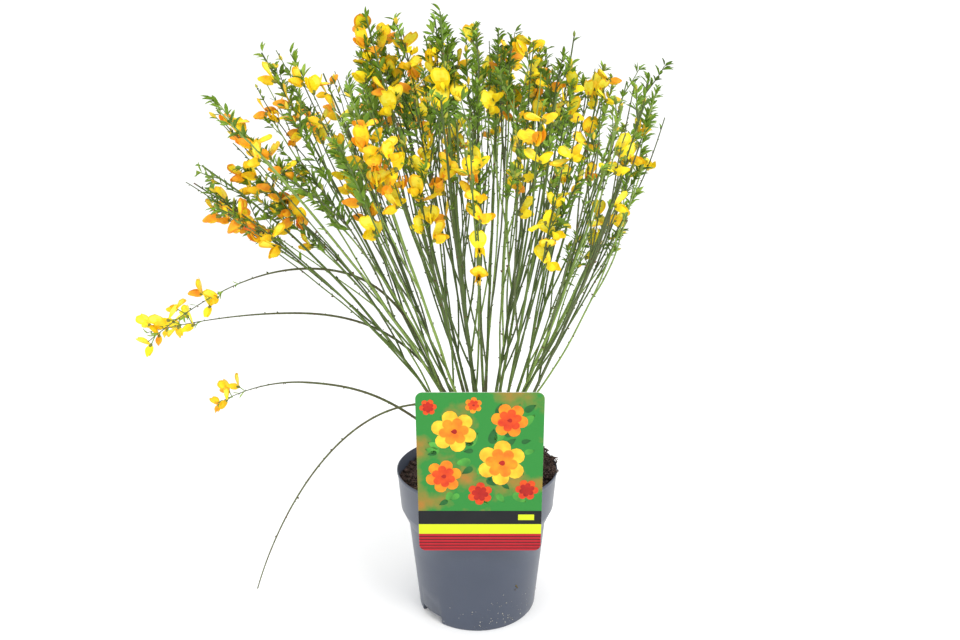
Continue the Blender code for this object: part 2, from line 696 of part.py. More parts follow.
def make_arches(arches, space):
    """Each arching stem: a limb up to its apex, a limb beyond it, and the flowering spray at its tip."""
    green = material("green_bark", (0.12, 0.17, 0.06), 0.6)
    sprays = []
    for index, (name, *_, end, flowers) in enumerate(ARCHES):
        rise, fall = arches[name]
        points, radii, ends = run(rise, 0.0, 1.0, ARCH_STEPS[0], ARCH_RADII[:2])
        points[-1] = points[-1] - (points[-1] - points[-2]).normalized() * GAP
        stood_up(f"{name}_rise", *tube(points, radii, 5, ends), green)
        space.take(f"{name}_rise", rods_along(points, radii))
        points, radii, ends = run(fall, 0.0, end, ARCH_STEPS[1], ARCH_RADII[1:])
        stood_up(f"{name}_fall", *tube(points, radii, 5, ends), green)
        space.take(f"{name}_fall", rods_along(points, radii))
        if flowers:
            points, radii, ends = run(fall, end, 1.0, 5, (ARCH_RADII[2], ARCH_RADII[2] * 0.8))
            space.take(f"spray_{name}", rods_along(points, radii))
            sprays.append((f"spray_{name}", index, fall, end, tube(points, radii, 4, ends), flowers))
    return sprays


def make_masses(stems, leaders, space):
    """Each mass: its leader and shoots, with leaves and flowers fused on."""
    finish = material("shoots_in_flower", (0.55, 0.40, 0.03), 0.6)
    radii = (SHOOT_RADIUS, SHOOT_TIP_RADIUS)
    grown = {}
    for index, stem in enumerate(STEMS):
        owner = f"mass_{stem[0]}"
        grown[owner] = []
        for curve in shoots_of(stem, stems[stem[0]], index):
            points, thickness, _ = run(curve, 0.0, 1.0, SHOOT_STEPS, radii)
            rods = rods_along(points, thickness)
            if space.is_clear(owner, rods, 3 * GAP):
                space.take(owner, rods)
                grown[owner].append((curve, tube(points, thickness, 3)))
    for index, stem in enumerate(STEMS):
        owner = f"mass_{stem[0]}"
        rng = random.Random(SEED + 100 + index)
        curves = [(stems[stem[0]], BOUGH_SHARE)] + [(curve, 0.0) for curve, _ in grown[owner]]
        leaves = round(LEAVES_PER_SHOOT * len(curves))
        solids = [solid for _, solid in grown[owner]]
        solids += dress(owner, rng, curves, radii, stem[8], leaves, space)
        mass = stood_up(owner, *leaders[stem[0]], finish)
        fuse(mass, solids, "MANIFOLD")
        keep_main_body(mass)


def make_sprays(sprays, space):
    """The flowering tip of each arching stem."""
    finish = material("shoots_in_flower", (0.55, 0.40, 0.03), 0.6)
    for name, index, fall, start, frame, flowers in sprays:
        rng = random.Random(SEED + 200 + index)
        radii = (ARCH_RADII[2], ARCH_RADII[2] * 0.8)
        curves = [(fall, start - (1.0 - start) * BLOOM[0] / (1.0 - BLOOM[0]))]
        solids = dress(name, rng, curves, radii, flowers, 3, space)
        spray = stood_up(name, *frame, finish)
        fuse(spray, solids, "MANIFOLD")
        keep_main_body(spray)


def main():
    clear_scene()
    stems, arches = all_curves()
    make_pot()
    make_compost()
    make_label()
    make_trunk(stems, arches)
    space = Space()
    leaders = make_stems(stems, space)
    sprays = make_arches(arches, space)
    make_masses(stems, leaders, space)
    make_sprays(sprays, space)
    for node in bpy.context.scene.objects:
        node.data.shade_smooth()
        node.data.set_sharp_from_angle(angle=math.radians(35.0))


main()
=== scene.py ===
"""A potted broom in flower: pot, compost, label, trunk, boughs, shoots, leaves and flowers on the CAD frame.

Sizes are in metres, +Z is up, and the label faces -Y.
"""

import math
import random

import bpy
import numpy as np
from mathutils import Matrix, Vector, noise


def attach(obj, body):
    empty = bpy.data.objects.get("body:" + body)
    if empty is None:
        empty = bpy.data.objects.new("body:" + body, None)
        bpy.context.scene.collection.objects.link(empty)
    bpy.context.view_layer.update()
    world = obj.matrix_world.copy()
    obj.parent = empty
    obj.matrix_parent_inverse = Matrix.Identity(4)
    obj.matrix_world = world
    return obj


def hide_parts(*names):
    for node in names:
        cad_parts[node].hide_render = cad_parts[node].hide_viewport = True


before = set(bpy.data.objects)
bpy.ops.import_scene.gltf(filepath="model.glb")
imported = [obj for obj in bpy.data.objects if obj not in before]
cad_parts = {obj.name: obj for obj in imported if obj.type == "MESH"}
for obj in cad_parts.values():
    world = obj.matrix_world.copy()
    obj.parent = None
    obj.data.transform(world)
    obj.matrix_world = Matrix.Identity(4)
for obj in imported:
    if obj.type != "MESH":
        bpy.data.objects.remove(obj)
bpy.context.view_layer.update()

# Studio.
# A white floor under an evenly white sky, as for a catalogue picture, with a
# large soft lamp high on the right and a weaker one on the left. The camera
# stands 0.69 m in front of the pot's axis and looks 12.2 degrees down.
CAMERA_PLACE = (0.003, -0.69, 0.4617)
CAMERA_DOWN = math.radians(12.2)
CAMERA_LENS = 26.0
FLOOR_SIZE = 14.0
SKY_STRENGTH = 1.12
LAMP_SIZE = 1.0
LAMP_TARGET = Vector((0.0, 0.0, 0.3))

# Lamps: name, place, watts, colour
LAMPS = (
    ("key_lamp", (1.1, -1.3, 1.9), 24.0, (1.0, 0.98, 0.95)),
    ("fill_lamp", (-1.4, -0.9, 1.2), 6.0, (0.97, 0.98, 1.0)),
)

camera = bpy.data.objects.new("camera", bpy.data.cameras.new("camera"))
bpy.context.scene.collection.objects.link(camera)
camera.location = CAMERA_PLACE
camera.rotation_euler = (math.pi / 2 - CAMERA_DOWN, 0.0, 0.0)
camera.data.lens = CAMERA_LENS
camera.data.sensor_width = 36.0
camera.data.clip_start = 0.01
bpy.context.scene.camera = camera

bpy.context.scene.view_settings.view_transform = "Standard"
sky = bpy.data.worlds.new("sky")
bpy.context.scene.world = sky
sky.use_nodes = True
background = sky.node_tree.nodes["Background"]
background.inputs["Color"].default_value = (1.0, 1.0, 1.0, 1.0)
background.inputs["Strength"].default_value = SKY_STRENGTH
for name, place, watts, colour in LAMPS:
    light = bpy.data.lights.new(name, "AREA")
    light.size = LAMP_SIZE
    light.energy = watts
    light.color = colour
    lamp = bpy.data.objects.new(name, light)
    bpy.context.scene.collection.objects.link(lamp)
    lamp.location = place
    lamp.rotation_euler = (LAMP_TARGET - Vector(place)).to_track_quat("-Z", "Y").to_euler()

half = FLOOR_SIZE / 2
floor_corners = [(-half, -half, 0), (half, -half, 0), (half, half, 0), (-half, half, 0)]
floor_mesh = bpy.data.meshes.new("floor")
floor_mesh.from_pydata(floor_corners, [], [(0, 1, 2, 3)])
floor = bpy.data.objects.new("floor", floor_mesh)
bpy.context.scene.collection.objects.link(floor)
floor_finish = bpy.data.materials.new("white_floor")
floor_finish.use_nodes = True
floor_shader = floor_finish.node_tree.nodes["Principled BSDF"]
floor_shader.inputs["Base Color"].default_value = (0.96, 0.965, 0.97, 1.0)
floor_shader.inputs["Roughness"].default_value = 0.8
floor_mesh.materials.append(floor_finish)

# Pot.
# A two-litre nursery pot, blow-moulded in blue-grey polypropylene with a wall
# of about a millimetre: collar, sloped shoulder, rolled lip, foot ring with
# two cut-outs. The skin is matte with a fine orange-peel and dry dirt low down.
GAP = 0.0003
POT_HEIGHT = 0.1545
RIM_RADIUS = 0.085
COLLAR_RADIUS = 0.0812
COLLAR_HEIGHT = 0.1147
NECK_RADIUS = 0.0733
NECK_HEIGHT = 0.0976
BASE_RADIUS = 0.063
WALL = 0.0011
POT_FLOOR = 0.009
PAD_RADIUS = 0.014
FOOT_WIDTH = 0.0022
POT_SIDES = 288
OUT_OF_ROUND = 0.0012
NOTCH_AZIMUTHS = (220.0, 40.0)
NOTCH_WIDTH = 0.031
NOTCH_HEIGHT = 0.0085
PATCH_RAMP = 0.33
BUMP_DISTANCE = 0.0004


def srgb(red, green, blue):
    """A colour given as 0 to 255 screen values, in linear light."""
    parts = [v / 255.0 for v in (red, green, blue)]
    return tuple(v / 12.92 if v <= 0.04045 else ((v + 0.055) / 1.055) ** 2.4 for v in parts)


def add_mottle_group():
    """Node group: a colour mottled towards a second one, with roughness and relief from one grain."""
    group = bpy.data.node_groups.new("mottle", "ShaderNodeTree")
    face = group.interface
    for name, kind, value in (
        ("Colour", "NodeSocketColor", (0.5, 0.5, 0.5, 1.0)),
        ("Second Colour", "NodeSocketColor", (0.4, 0.4, 0.4, 1.0)),
        ("Patch Scale", "NodeSocketFloat", 40.0),
        ("Grain Scale", "NodeSocketFloat", 900.0),
        ("Patch Amount", "NodeSocketFloat", 0.6),
        ("Patch Start", "NodeSocketFloat", 0.35),
        ("Roughness", "NodeSocketFloat", 0.5),
        ("Roughness Spread", "NodeSocketFloat", 0.15),
    ):
        socket = face.new_socket(name, in_out="INPUT", socket_type=kind)
        socket.default_value = value
    for name, kind in (
        ("Colour", "NodeSocketColor"),
        ("Roughness", "NodeSocketFloat"),
        ("Height", "NodeSocketFloat"),
    ):
        face.new_socket(name, in_out="OUTPUT", socket_type=kind)
    nodes, links = group.nodes, group.links

    def maths(operation, *values):
        """What a maths node gives. Each value is a socket or a plain number."""
        node = nodes.new("ShaderNodeMath")
        node.operation = operation
        for socket, value in zip(node.inputs, values):
            if isinstance(value, float):
                socket.default_value = value
            else:
                links.new(value, socket)
        return node.outputs["Value"]

    taken, given = nodes.new("NodeGroupInput").outputs, nodes.new("NodeGroupOutput").inputs
    where = nodes.new("ShaderNodeTexCoord").outputs["Object"]
    patches, grain = nodes.new("ShaderNodeTexNoise"), nodes.new("ShaderNodeTexNoise")
    for texture, scale, detail in ((patches, "Patch Scale", 4.0), (grain, "Grain Scale", 2.0)):
        texture.inputs["Detail"].default_value = detail
        links.new(where, texture.inputs["Vector"])
        links.new(taken[scale], texture.inputs["Scale"])
    spread = nodes.new("ShaderNodeMapRange")
    links.new(taken["Patch Start"], spread.inputs["From Min"])
    links.new(maths("ADD", taken["Patch Start"], PATCH_RAMP), spread.inputs["From Max"])
    links.new(patches.outputs["Fac"], spread.inputs["Value"])
    mix = nodes.new("ShaderNodeMix")
    mix.data_type = "RGBA"
    links.new(maths("MULTIPLY", spread.outputs["Result"], taken["Patch Amount"]), mix.inputs["Factor"])
    links.new(taken["Colour"], mix.inputs["A"])
    links.new(taken["Second Colour"], mix.inputs["B"])
    links.new(mix.outputs["Result"], given["Colour"])
    centred = maths("SUBTRACT", grain.outputs["Fac"], 0.5)
    rough = maths("MULTIPLY_ADD", centred, taken["Roughness Spread"], taken["Roughness"])
    links.new(rough, given["Roughness"])
    links.new(grain.outputs["Fac"], given["Height"])
    return group


mottle = add_mottle_group()


def finish(
    name, colour, second, *, patch, grain, amount, roughness, spread, relief, sheen=0.0, shine=0.5, start=0.35
):
    """A finish from the mottle group, with its colours as 0 to 255 screen values.

    patch and grain are scales, amount is how far the patches turn to the second colour, start is where
    they begin, relief is the bump's strength, and shine the specular level.
    """
    made = bpy.data.materials.new(name)
    made.use_nodes = True
    nodes, links = made.node_tree.nodes, made.node_tree.links
    shader = nodes["Principled BSDF"]
    group = nodes.new("ShaderNodeGroup")
    group.node_tree = mottle
    for socket, value in (
        ("Colour", (*srgb(*colour), 1.0)),
        ("Second Colour", (*srgb(*second), 1.0)),
        ("Patch Scale", patch),
        ("Grain Scale", grain),
        ("Patch Amount", amount),
        ("Patch Start", start),
        ("Roughness", roughness),
        ("Roughness Spread", spread),
    ):
        group.inputs[socket].default_value = value
    links.new(group.outputs["Colour"], shader.inputs["Base Color"])
    links.new(group.outputs["Roughness"], shader.inputs["Roughness"])
    bump = nodes.new("ShaderNodeBump")
    bump.inputs["Strength"].default_value = relief
    bump.inputs["Distance"].default_value = BUMP_DISTANCE
    links.new(group.outputs["Height"], bump.inputs["Height"])
    links.new(bump.outputs["Normal"], shader.inputs["Normal"])
    shader.inputs["Sheen Weight"].default_value = sheen
    shader.inputs["Specular IOR Level"].default_value = shine
    return made


def family(kind, tints, **values):
    """Finishes of one kind that differ in their tints: each a name, a colour and a second colour."""
    return [finish(f"{kind}_{name}", colour, second, **values) for name, colour, second in tints]


class Gathering:
    """Many small shapes that become one piece. Faces are corner numbers, as many for each face of a call."""

    def __init__(self):
        self.points, self.corners, self.sides, self.finishes = [], [], [], []
        self.count = 0

    def add(self, points, faces, which=0):
        """Adds a shape; which is the number of its finish, or one number for each face."""
        faces = np.asarray(faces, np.int64)
        self.points.append(np.asarray(points, float).reshape(-1, 3))
        self.corners.append((faces + self.count).ravel())
        self.sides.append(np.full(len(faces), faces.shape[1]))
        self.finishes.append(np.broadcast_to(which, len(faces)))
        self.count += len(self.points[-1])

    def piece(self, name, finishes, slot, *nodes):
        """Makes the piece, which rides on the root body, replaces those CAD nodes and is smooth-shaded."""
        mesh = bpy.data.meshes.new(name)
        points, corners = np.concatenate(self.points), np.concatenate(self.corners)
        sides = np.concatenate(self.sides)
        mesh.vertices.add(len(points))
        mesh.vertices.foreach_set("co", points.ravel())
        mesh.loops.add(len(corners))
        mesh.loops.foreach_set("vertex_index", corners)
        mesh.polygons.add(len(sides))
        mesh.polygons.foreach_set("loop_start", np.concatenate([[0], np.cumsum(sides)[:-1]]))
        for made in finishes:
            mesh.materials.append(made)
        mesh.polygons.foreach_set("material_index", np.concatenate(self.finishes).astype(np.int32))
        mesh.update(calc_edges=True)
        mesh.validate()
        mesh.shade_smooth()
        made = bpy.data.objects.new(name, mesh)
        bpy.context.scene.collection.objects.link(made)
        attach(made, "root")
        if nodes:
            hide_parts(*nodes)
        return made


def ring_faces(rings, sides):
    """Faces between rings of points that follow one another."""
    k = np.arange(sides)
    n = (k + 1) % sides
    one = np.stack([k, n, sides + n, sides + k], 1)
    return np.concatenate([one + sides * i for i in range(rings - 1)])


def pot_profile():
    """The pot's section as (radius, height): up the outside from its foot, over the lip, down the inside."""
    lip = 0.0008
    return [
        (BASE_RADIUS - FOOT_WIDTH, POT_FLOOR),
        (BASE_RADIUS - FOOT_WIDTH, 0.0004),
        (BASE_RADIUS - FOOT_WIDTH + 0.0004, 0.0),
        (BASE_RADIUS - 0.0006, 0.0),
        (BASE_RADIUS - 0.0001, 0.0005),
        (BASE_RADIUS + 0.0004, 0.0018),
        (BASE_RADIUS + 0.0009, NOTCH_HEIGHT),
        (BASE_RADIUS + (NECK_RADIUS - BASE_RADIUS) * 0.35, NECK_HEIGHT * 0.35),
        (BASE_RADIUS + (NECK_RADIUS - BASE_RADIUS) * 0.7, NECK_HEIGHT * 0.7),
        (NECK_RADIUS, NECK_HEIGHT),
        (NECK_RADIUS + 0.0008, NECK_HEIGHT + 0.0014),
        (COLLAR_RADIUS - 0.0010, COLLAR_HEIGHT - 0.0020),
        (COLLAR_RADIUS, COLLAR_HEIGHT),
        (RIM_RADIUS - lip, POT_HEIGHT - 0.0036),
        (RIM_RADIUS - 0.0002, POT_HEIGHT - 0.0030),
        (RIM_RADIUS, POT_HEIGHT - 0.0024),
        (RIM_RADIUS, POT_HEIGHT - 0.0006),
        (RIM_RADIUS - 0.0003, POT_HEIGHT - 0.0001),
        (RIM_RADIUS - WALL + 0.0002, POT_HEIGHT),
        (RIM_RADIUS - WALL, POT_HEIGHT - 0.0003),
        (COLLAR_RADIUS - WALL, COLLAR_HEIGHT),
        (NECK_RADIUS - WALL, NECK_HEIGHT),
        (BASE_RADIUS - WALL, POT_FLOOR + WALL),
        (PAD_RADIUS, POT_FLOOR + WALL),
        (0.0005, POT_FLOOR + WALL),
    ]


pot = Gathering()
profile = pot_profile()
angles = np.radians(np.arange(POT_SIDES) * 360.0 / POT_SIDES)
points = []
for radius, height in profile:
    reach = radius * (1.0 + OUT_OF_ROUND * np.sin(2 * angles + 0.6) * (height / POT_HEIGHT))
    ring = np.stack([reach * np.cos(angles), reach * np.sin(angles), np.full(POT_SIDES, height)], 1)
    if height < NOTCH_HEIGHT:
        for azimuth in NOTCH_AZIMUTHS:
            off = np.abs((np.degrees(angles) - azimuth + 180.0) % 360.0 - 180.0)
            inside = off < math.degrees(NOTCH_WIDTH / 2 / BASE_RADIUS)
            ring[inside, 2] = np.maximum(ring[inside, 2], NOTCH_HEIGHT - 0.0002)
    points.append(ring)
pot.add(np.concatenate(points), ring_faces(len(profile), POT_SIDES))
under = [
    (BASE_RADIUS - FOOT_WIDTH, POT_FLOOR),
    (PAD_RADIUS + 0.002, POT_FLOOR),
    (PAD_RADIUS, 0.0004),
    (PAD_RADIUS - 0.0004, 0.0),
    (0.0005, 0.0),
]
rings = [np.stack([r * np.cos(angles), r * np.sin(angles), np.full(POT_SIDES, z)], 1) for r, z in under]
pot.add(np.concatenate(rings), ring_faces(len(under), POT_SIDES)[:, ::-1])
pot_look = dict(patch=26.0, grain=1500.0, amount=0.5, roughness=0.36, spread=0.18, relief=0.10, sheen=0.06)
pot_finish = finish("grey_plastic", (63, 71, 88), (57, 65, 81), **pot_look)
pot.piece("pot_shell", [pot_finish], "pot", "pot")

# Specks of dried compost low on the pot's wall, and three bits stuck higher up: azimuth, height, size
SPECK_COUNT = 70
SPECK_SIZES = (0.0003, 0.0010)
STUCK_BITS = ((306.0, 0.047, 0.0017), (307.5, 0.044, 0.0012), (305.0, 0.0425, 0.0010))
rng = np.random.default_rng(11)


def on_wall(turn, height):
    """A point on the outside of the pot's wall, below its collar."""
    radius = BASE_RADIUS + (NECK_RADIUS - BASE_RADIUS) * height / NECK_HEIGHT
    return radius * math.cos(turn), radius * math.sin(turn), height


def crumb(rng, centre, size, squash=1.0):
    """Points and faces of one angular lump."""
    unit = np.array([(1, 0, 0), (-1, 0, 0), (0, 1, 0), (0, -1, 0), (0, 0, 1), (0, 0, -1)], float)
    unit *= rng.uniform(0.6, 1.15, (6, 1))
    unit += rng.uniform(-0.25, 0.25, (6, 3))
    unit[:, 2] *= squash
    turn = rng.uniform(0, 2 * math.pi)
    c, s = math.cos(turn), math.sin(turn)
    unit = unit @ np.array([(c, s, 0), (-s, c, 0), (0, 0, 1)])
    faces = [(0, 2, 4), (2, 1, 4), (1, 3, 4), (3, 0, 4), (2, 0, 5), (1, 2, 5), (3, 1, 5), (0, 3, 5)]
    return np.asarray(centre) + unit * size, faces


specks = Gathering()
for azimuth, height, size in STUCK_BITS:
    specks.add(*crumb(rng, on_wall(math.radians(azimuth), height), size), 1)
for _ in range(SPECK_COUNT):
    azimuth = math.radians(rng.normal(292.0, 22.0))
    height = 0.004 + abs(rng.normal(0.0, 0.014))
    specks.add(*crumb(rng, on_wall(azimuth, height), rng.uniform(*SPECK_SIZES)))
dirt_look = dict(patch=300.0, grain=2500.0, amount=0.8, roughness=0.9, spread=0.1, relief=0.4)
dirt_finish = finish("dry_dirt", (176, 176, 170), (96, 94, 90), **dirt_look)
stuck_look = dict(patch=400.0, grain=2500.0, amount=0.9, roughness=0.8, spread=0.1, relief=0.4)
stuck_finish = finish("stuck_bit", (110, 96, 40), (52, 48, 34), **stuck_look)
specks.piece("pot_specks", [dirt_finish, stuck_finish], "compost")

# Compost.
# Peat-based potting compost with shreds of bark, settled 12 mm under the rim,
# and heaped loose against the rim on the right, where some of it lies on the lip.
COMPOST_TOP = 0.1425
COMPOST_ROUGHNESS = 0.0024
FLAT_RADIUS = 0.020
HEAP_AZIMUTH = 16.0
HEAP_HEIGHT = 0.014
HEAP_WIDTH = 0.024
CLOD_RADIUS = 0.0085
CLODS = 4
CLOD_CRUMBS = 330
CRUMBS = 5200
BARK_SHREDS = 420
BARK_CHUNKS = 70
CHUNK_SIZES = (0.0018, 0.0042)
BED_SIDES = 120
BED_RINGS = 34


def outward(azimuth):
    """The level direction at an azimuth in degrees."""
    return Vector((math.cos(math.radians(azimuth)), math.sin(math.radians(azimuth)), 0.0))


def compost_level(x, y):
    """Height of the compost's surface, as in the CAD."""
    radius = math.hypot(x, y)
    lumps = math.sin(231.0 * x + 1.3) * math.cos(197.0 * y - 0.4) + 0.6 * math.sin(410.0 * (x + y))
    rough = min(1.0, max(0.0, (radius - FLAT_RADIUS) / 0.012))
    heap = outward(HEAP_AZIMUTH) * (RIM_RADIUS - 0.010)
    spread = ((x - heap.x) ** 2 + (y - heap.y) ** 2) / HEAP_WIDTH**2
    return COMPOST_TOP + rough * (COMPOST_ROUGHNESS * lumps + HEAP_HEIGHT * math.exp(-spread))


bed = Gathering()
edge = RIM_RADIUS - WALL - 0.0014
bed_points = []
for i in range(BED_RINGS):
    radius = edge * (i + 0.02) / (BED_RINGS - 1 + 0.02)
    for k in range(BED_SIDES):
        angle = 2 * math.pi * k / BED_SIDES
        x, y = radius * math.cos(angle), radius * math.sin(angle)
        fine = noise.fractal(Vector((x, y, 0.3)) * 260.0, 0.7, 2.0, 4)
        bed_points.append((x, y, compost_level(x, y) - 0.0012 + 0.0013 * fine))
bed.add(bed_points, ring_faces(BED_RINGS, BED_SIDES)[:, ::-1])
bed_look = dict(patch=220.0, grain=1600.0, amount=0.9, roughness=0.92, spread=0.08, relief=0.8, shine=0.3)
compost_finish = finish("compost", (86, 68, 62), (50, 39, 36), **bed_look)
bed.piece("compost_bed", [compost_finish], "compost", "compost")


def in_pot(reach, inner=0.0):
    """A random place on the compost: its distance from the axis, then its x, y and level."""
    radius, angle = reach * math.sqrt(rng.uniform(inner, 1)), rng.uniform(0, 2 * math.pi)
    x, y = radius * math.cos(angle), radius * math.sin(angle)
    return radius, x, y, compost_level(x, y)


crumbs = Gathering()
for _ in range(CRUMBS):
    radius, x, y, level = in_pot(edge)
    size = 0.0006 + 0.0026 * rng.random() ** 4
    if radius + size < edge + 0.0006:
        crumbs.add(*crumb(rng, (x, y, level + size * 0.1), size), int(rng.random() < 0.25))
for _ in range(BARK_CHUNKS):
    _, x, y, level = in_pot(edge - 0.006, 0.2)
    size = rng.uniform(*CHUNK_SIZES)
    crumbs.add(*crumb(rng, (x, y, level + size * 0.3), size, 0.5), 2)
for k in range(CLODS):
    azimuth = HEAP_AZIMUTH + 19.0 * (k - (CLODS - 1) / 2)
    heart = outward(azimuth) * (RIM_RADIUS - 0.0055 + 0.0025 * (k % 2))
    heart.z = POT_HEIGHT - 0.0015
    for _ in range(CLOD_CRUMBS):
        way = rng.normal(0, 1, 3)
        way *= rng.uniform(0.3, 1.0) ** 0.4 / np.linalg.norm(way)
        place = np.array(heart) + way * CLOD_RADIUS * (0.98, 0.98, 0.8)
        past_wall = math.hypot(place[0], place[1]) > RIM_RADIUS - WALL - 0.001
        size = 0.0007 + 0.0013 * rng.random() ** 2
        if past_wall and place[2] < POT_HEIGHT + size:
            continue
        crumbs.add(*crumb(rng, place, size), int(rng.random() < 0.2))
for _ in range(BARK_SHREDS):
    _, x, y, level = in_pot(edge - 0.003)
    way = rng.normal(0, 1, 3) * (1, 1, 0.35)
    way /= np.linalg.norm(way)
    length, thick = rng.uniform(0.002, 0.008), rng.uniform(0.0003, 0.0009)
    points, faces = crumb(rng, (0, 0, 0), 1.0)
    across = np.cross(way, (0, 0, 1.0))
    across /= np.linalg.norm(across)
    up = np.cross(across, way)
    points = np.outer(points[:, 0], way) * length / 2 + np.outer(points[:, 1], across) * thick * 2
    points += np.array((x, y, level + 0.0010))
    points[4] += up * thick
    points[5] -= up * thick
    crumbs.add(points, faces, 2)
shred_look = dict(patch=260.0, grain=2200.0, amount=0.8, roughness=0.85, spread=0.1, relief=0.5, shine=0.3)
pale_bark = finish("bark_shred", (92, 74, 62), (58, 44, 36), **shred_look)
crumb_look = dict(patch=240.0, grain=2200.0, amount=0.8, roughness=0.92, spread=0.08, relief=0.6, shine=0.3)
mid_crumb = finish("dry_crumb", (74, 64, 58), (48, 40, 36), **crumb_look)
crumbs.piece("compost_crumbs", [compost_finish, mid_crumb, pale_bark], "compost")

# Label.
# A thin printed plastic card with rounded corners that hangs in front of the
# rim by a strip folded over it. Printed with blossoms on a soft green ground
# over a plain dark band, a lime stripe and a red band with fine dark lines.
LABEL_WIDTH = 0.117
LABEL_LENGTH = 0.1645
LABEL_THICKNESS = 0.0007
LABEL_CORNER = 0.0065
LABEL_LEAN = math.radians(4.5)
LABEL_BELOW_RIM = 0.0521
LABEL_OFFSET = 0.003
HOOK_WIDTH = 0.022
HOOK_DROP = 0.0060
PICTURE_FOOT = 0.0435
DARK_BAND = (0.0290, 0.0435)
LIME_BAND = (0.0185, 0.0290)
LIME_PATCH = (0.0335, 0.0395)
PATCH_SPAN = (0.62, 0.88)
LINE_COUNT = 5
LINE_FOOT = 0.0022
LINE_SPACING = 0.0032
LINE_WIDTH = 0.0008
INK = 0.00006
PRINT_LEAVES = 46
EDGE, GREEN, DARK, LIME, RED, YELLOW, AMBER, ORANGE, CORE, LEAF, SHADE = range(11)

# Printed blossoms: place across and up the card, size, and how deep their colour is
BLOOMS = (
    (-0.024, 0.126, 0.021, 0),
    (0.027, 0.137, 0.017, 1),
    (0.020, 0.094, 0.023, 0),
    (-0.034, 0.080, 0.017, 1),
    (0.000, 0.062, 0.012, 2),
    (0.044, 0.066, 0.011, 2),
    (-0.047, 0.150, 0.008, 2),
    (-0.006, 0.152, 0.008, 1),
)


def card_point(across, up, proud):
    """A point of the card: across its width, up from its bottom edge, and proud of its printed face."""
    touch_y, touch_z = -(RIM_RADIUS + GAP), POT_HEIGHT - 0.0018
    bottom_y = touch_y + math.sin(LABEL_LEAN) * (LABEL_BELOW_RIM - 0.0018)
    bottom_z = touch_z - math.cos(LABEL_LEAN) * (LABEL_BELOW_RIM - 0.0018)
    out = LABEL_THICKNESS + proud
    y = bottom_y - math.sin(LABEL_LEAN) * up - math.cos(LABEL_LEAN) * out
    z = bottom_z + math.cos(LABEL_LEAN) * up - math.sin(LABEL_LEAN) * out
    return (LABEL_OFFSET + across, y, z)


def card_outline():
    """The card's rounded outline as (across, up) points."""
    found = []
    for a, b, turn in ((1, 0, -90), (1, 1, 0), (-1, 1, 90), (-1, 0, 180)):
        centre_x = a * (LABEL_WIDTH / 2 - LABEL_CORNER)
        centre_z = LABEL_CORNER if b == 0 else LABEL_LENGTH - LABEL_CORNER
        for step in range(9):
            angle = math.radians(turn + 90 * step / 8)
            across, up = LABEL_CORNER * math.cos(angle), LABEL_CORNER * math.sin(angle)
            found.append((centre_x + across, centre_z + up))
    return found


def half_width(up):
    """Half the card's width at a height above its bottom edge."""
    inset = max(LABEL_CORNER - up, up - (LABEL_LENGTH - LABEL_CORNER), 0.0)
    return LABEL_WIDTH / 2 - LABEL_CORNER + math.sqrt(max(LABEL_CORNER**2 - inset**2, 0.0))


def print_band(gathering, low, high, which, proud, left=-1.0, right=1.0):
    """A printed band between two heights of the card, from left to right as shares of its half width."""
    corner = [LABEL_CORNER * (1 - math.cos(math.pi * k / 16)) for k in range(9)]
    levels = [low, *(k for k in corner if low < k < high), *(LABEL_LENGTH - k for k in corner[::-1])]
    levels = sorted({level for level in levels if low <= level <= high} | {high})
    points = []
    for up in levels:
        for share in (left, right):
            points.append(card_point(half_width(up) * share * 0.9995, up, proud))
    faces = [(2 * i, 2 * i + 1, 2 * i + 3, 2 * i + 2) for i in range(len(levels) - 1)]
    gathering.add(points, faces, which)


def print_petal(gathering, x, up, angle, length, width, which, proud):
    """A printed petal: a rounded drop from its base at (x, up)."""
    sides = 14
    points = [card_point(x, up, proud)]
    for k in range(sides):
        turn = 2 * math.pi * k / sides
        u = 0.56 + 0.44 * math.cos(turn)
        v = 0.5 * math.sin(turn) * (0.55 + 0.45 * u)
        dx, dz = u * length, v * width * 2
        aside = dx * math.cos(angle) - dz * math.sin(angle)
        above = dx * math.sin(angle) + dz * math.cos(angle)
        points.append(card_point(x + aside, up + above, proud))
    gathering.add(points, [(0, 1 + k, 1 + (k + 1) % sides) for k in range(sides)], which)


card = Gathering()
outline = card_outline()
count = len(outline)
plates = []
for proud in (0.0, -LABEL_THICKNESS):
    plates += [card_point(x, up, proud) for x, up in [*outline, (0.0, LABEL_LENGTH / 2)]]
back = count + 1
around = [(k, (k + 1) % count) for k in range(count)]
card.add(plates, [(k, n, count) for k, n in around], EDGE)
card.add(plates, [(n + back, k + back, count + back) for k, n in around], EDGE)
card.add(plates, [(k, k + back, n + back, n) for k, n in around], EDGE)
over = POT_HEIGHT + GAP
taper = (RIM_RADIUS - COLLAR_RADIUS) * HOOK_DROP / (POT_HEIGHT - COLLAR_HEIGHT)
wall = RIM_RADIUS - WALL - taper - 0.0004
inner = GAP + LABEL_THICKNESS - math.sqrt(wall**2 - (LABEL_OFFSET + HOOK_WIDTH / 2) ** 2)
outer = -(RIM_RADIUS + GAP) - 0.0006
top, low = over + LABEL_THICKNESS, POT_HEIGHT - HOOK_DROP
path = [(outer, over), (outer, top), (inner, top), (inner, low), (inner - LABEL_THICKNESS, low)]
path.append((inner - LABEL_THICKNESS, over))
strip = [(LABEL_OFFSET + s * HOOK_WIDTH / 2, y, z) for s in (-1, 1) for y, z in path]
card.add(strip, [(0, 1, 2, 5), (2, 3, 4, 5), (6, 11, 8, 7), (8, 11, 10, 9)], EDGE)
card.add(strip, [(k, (k + 1) % 6, 6 + (k + 1) % 6, 6 + k) for k in range(6)], EDGE)

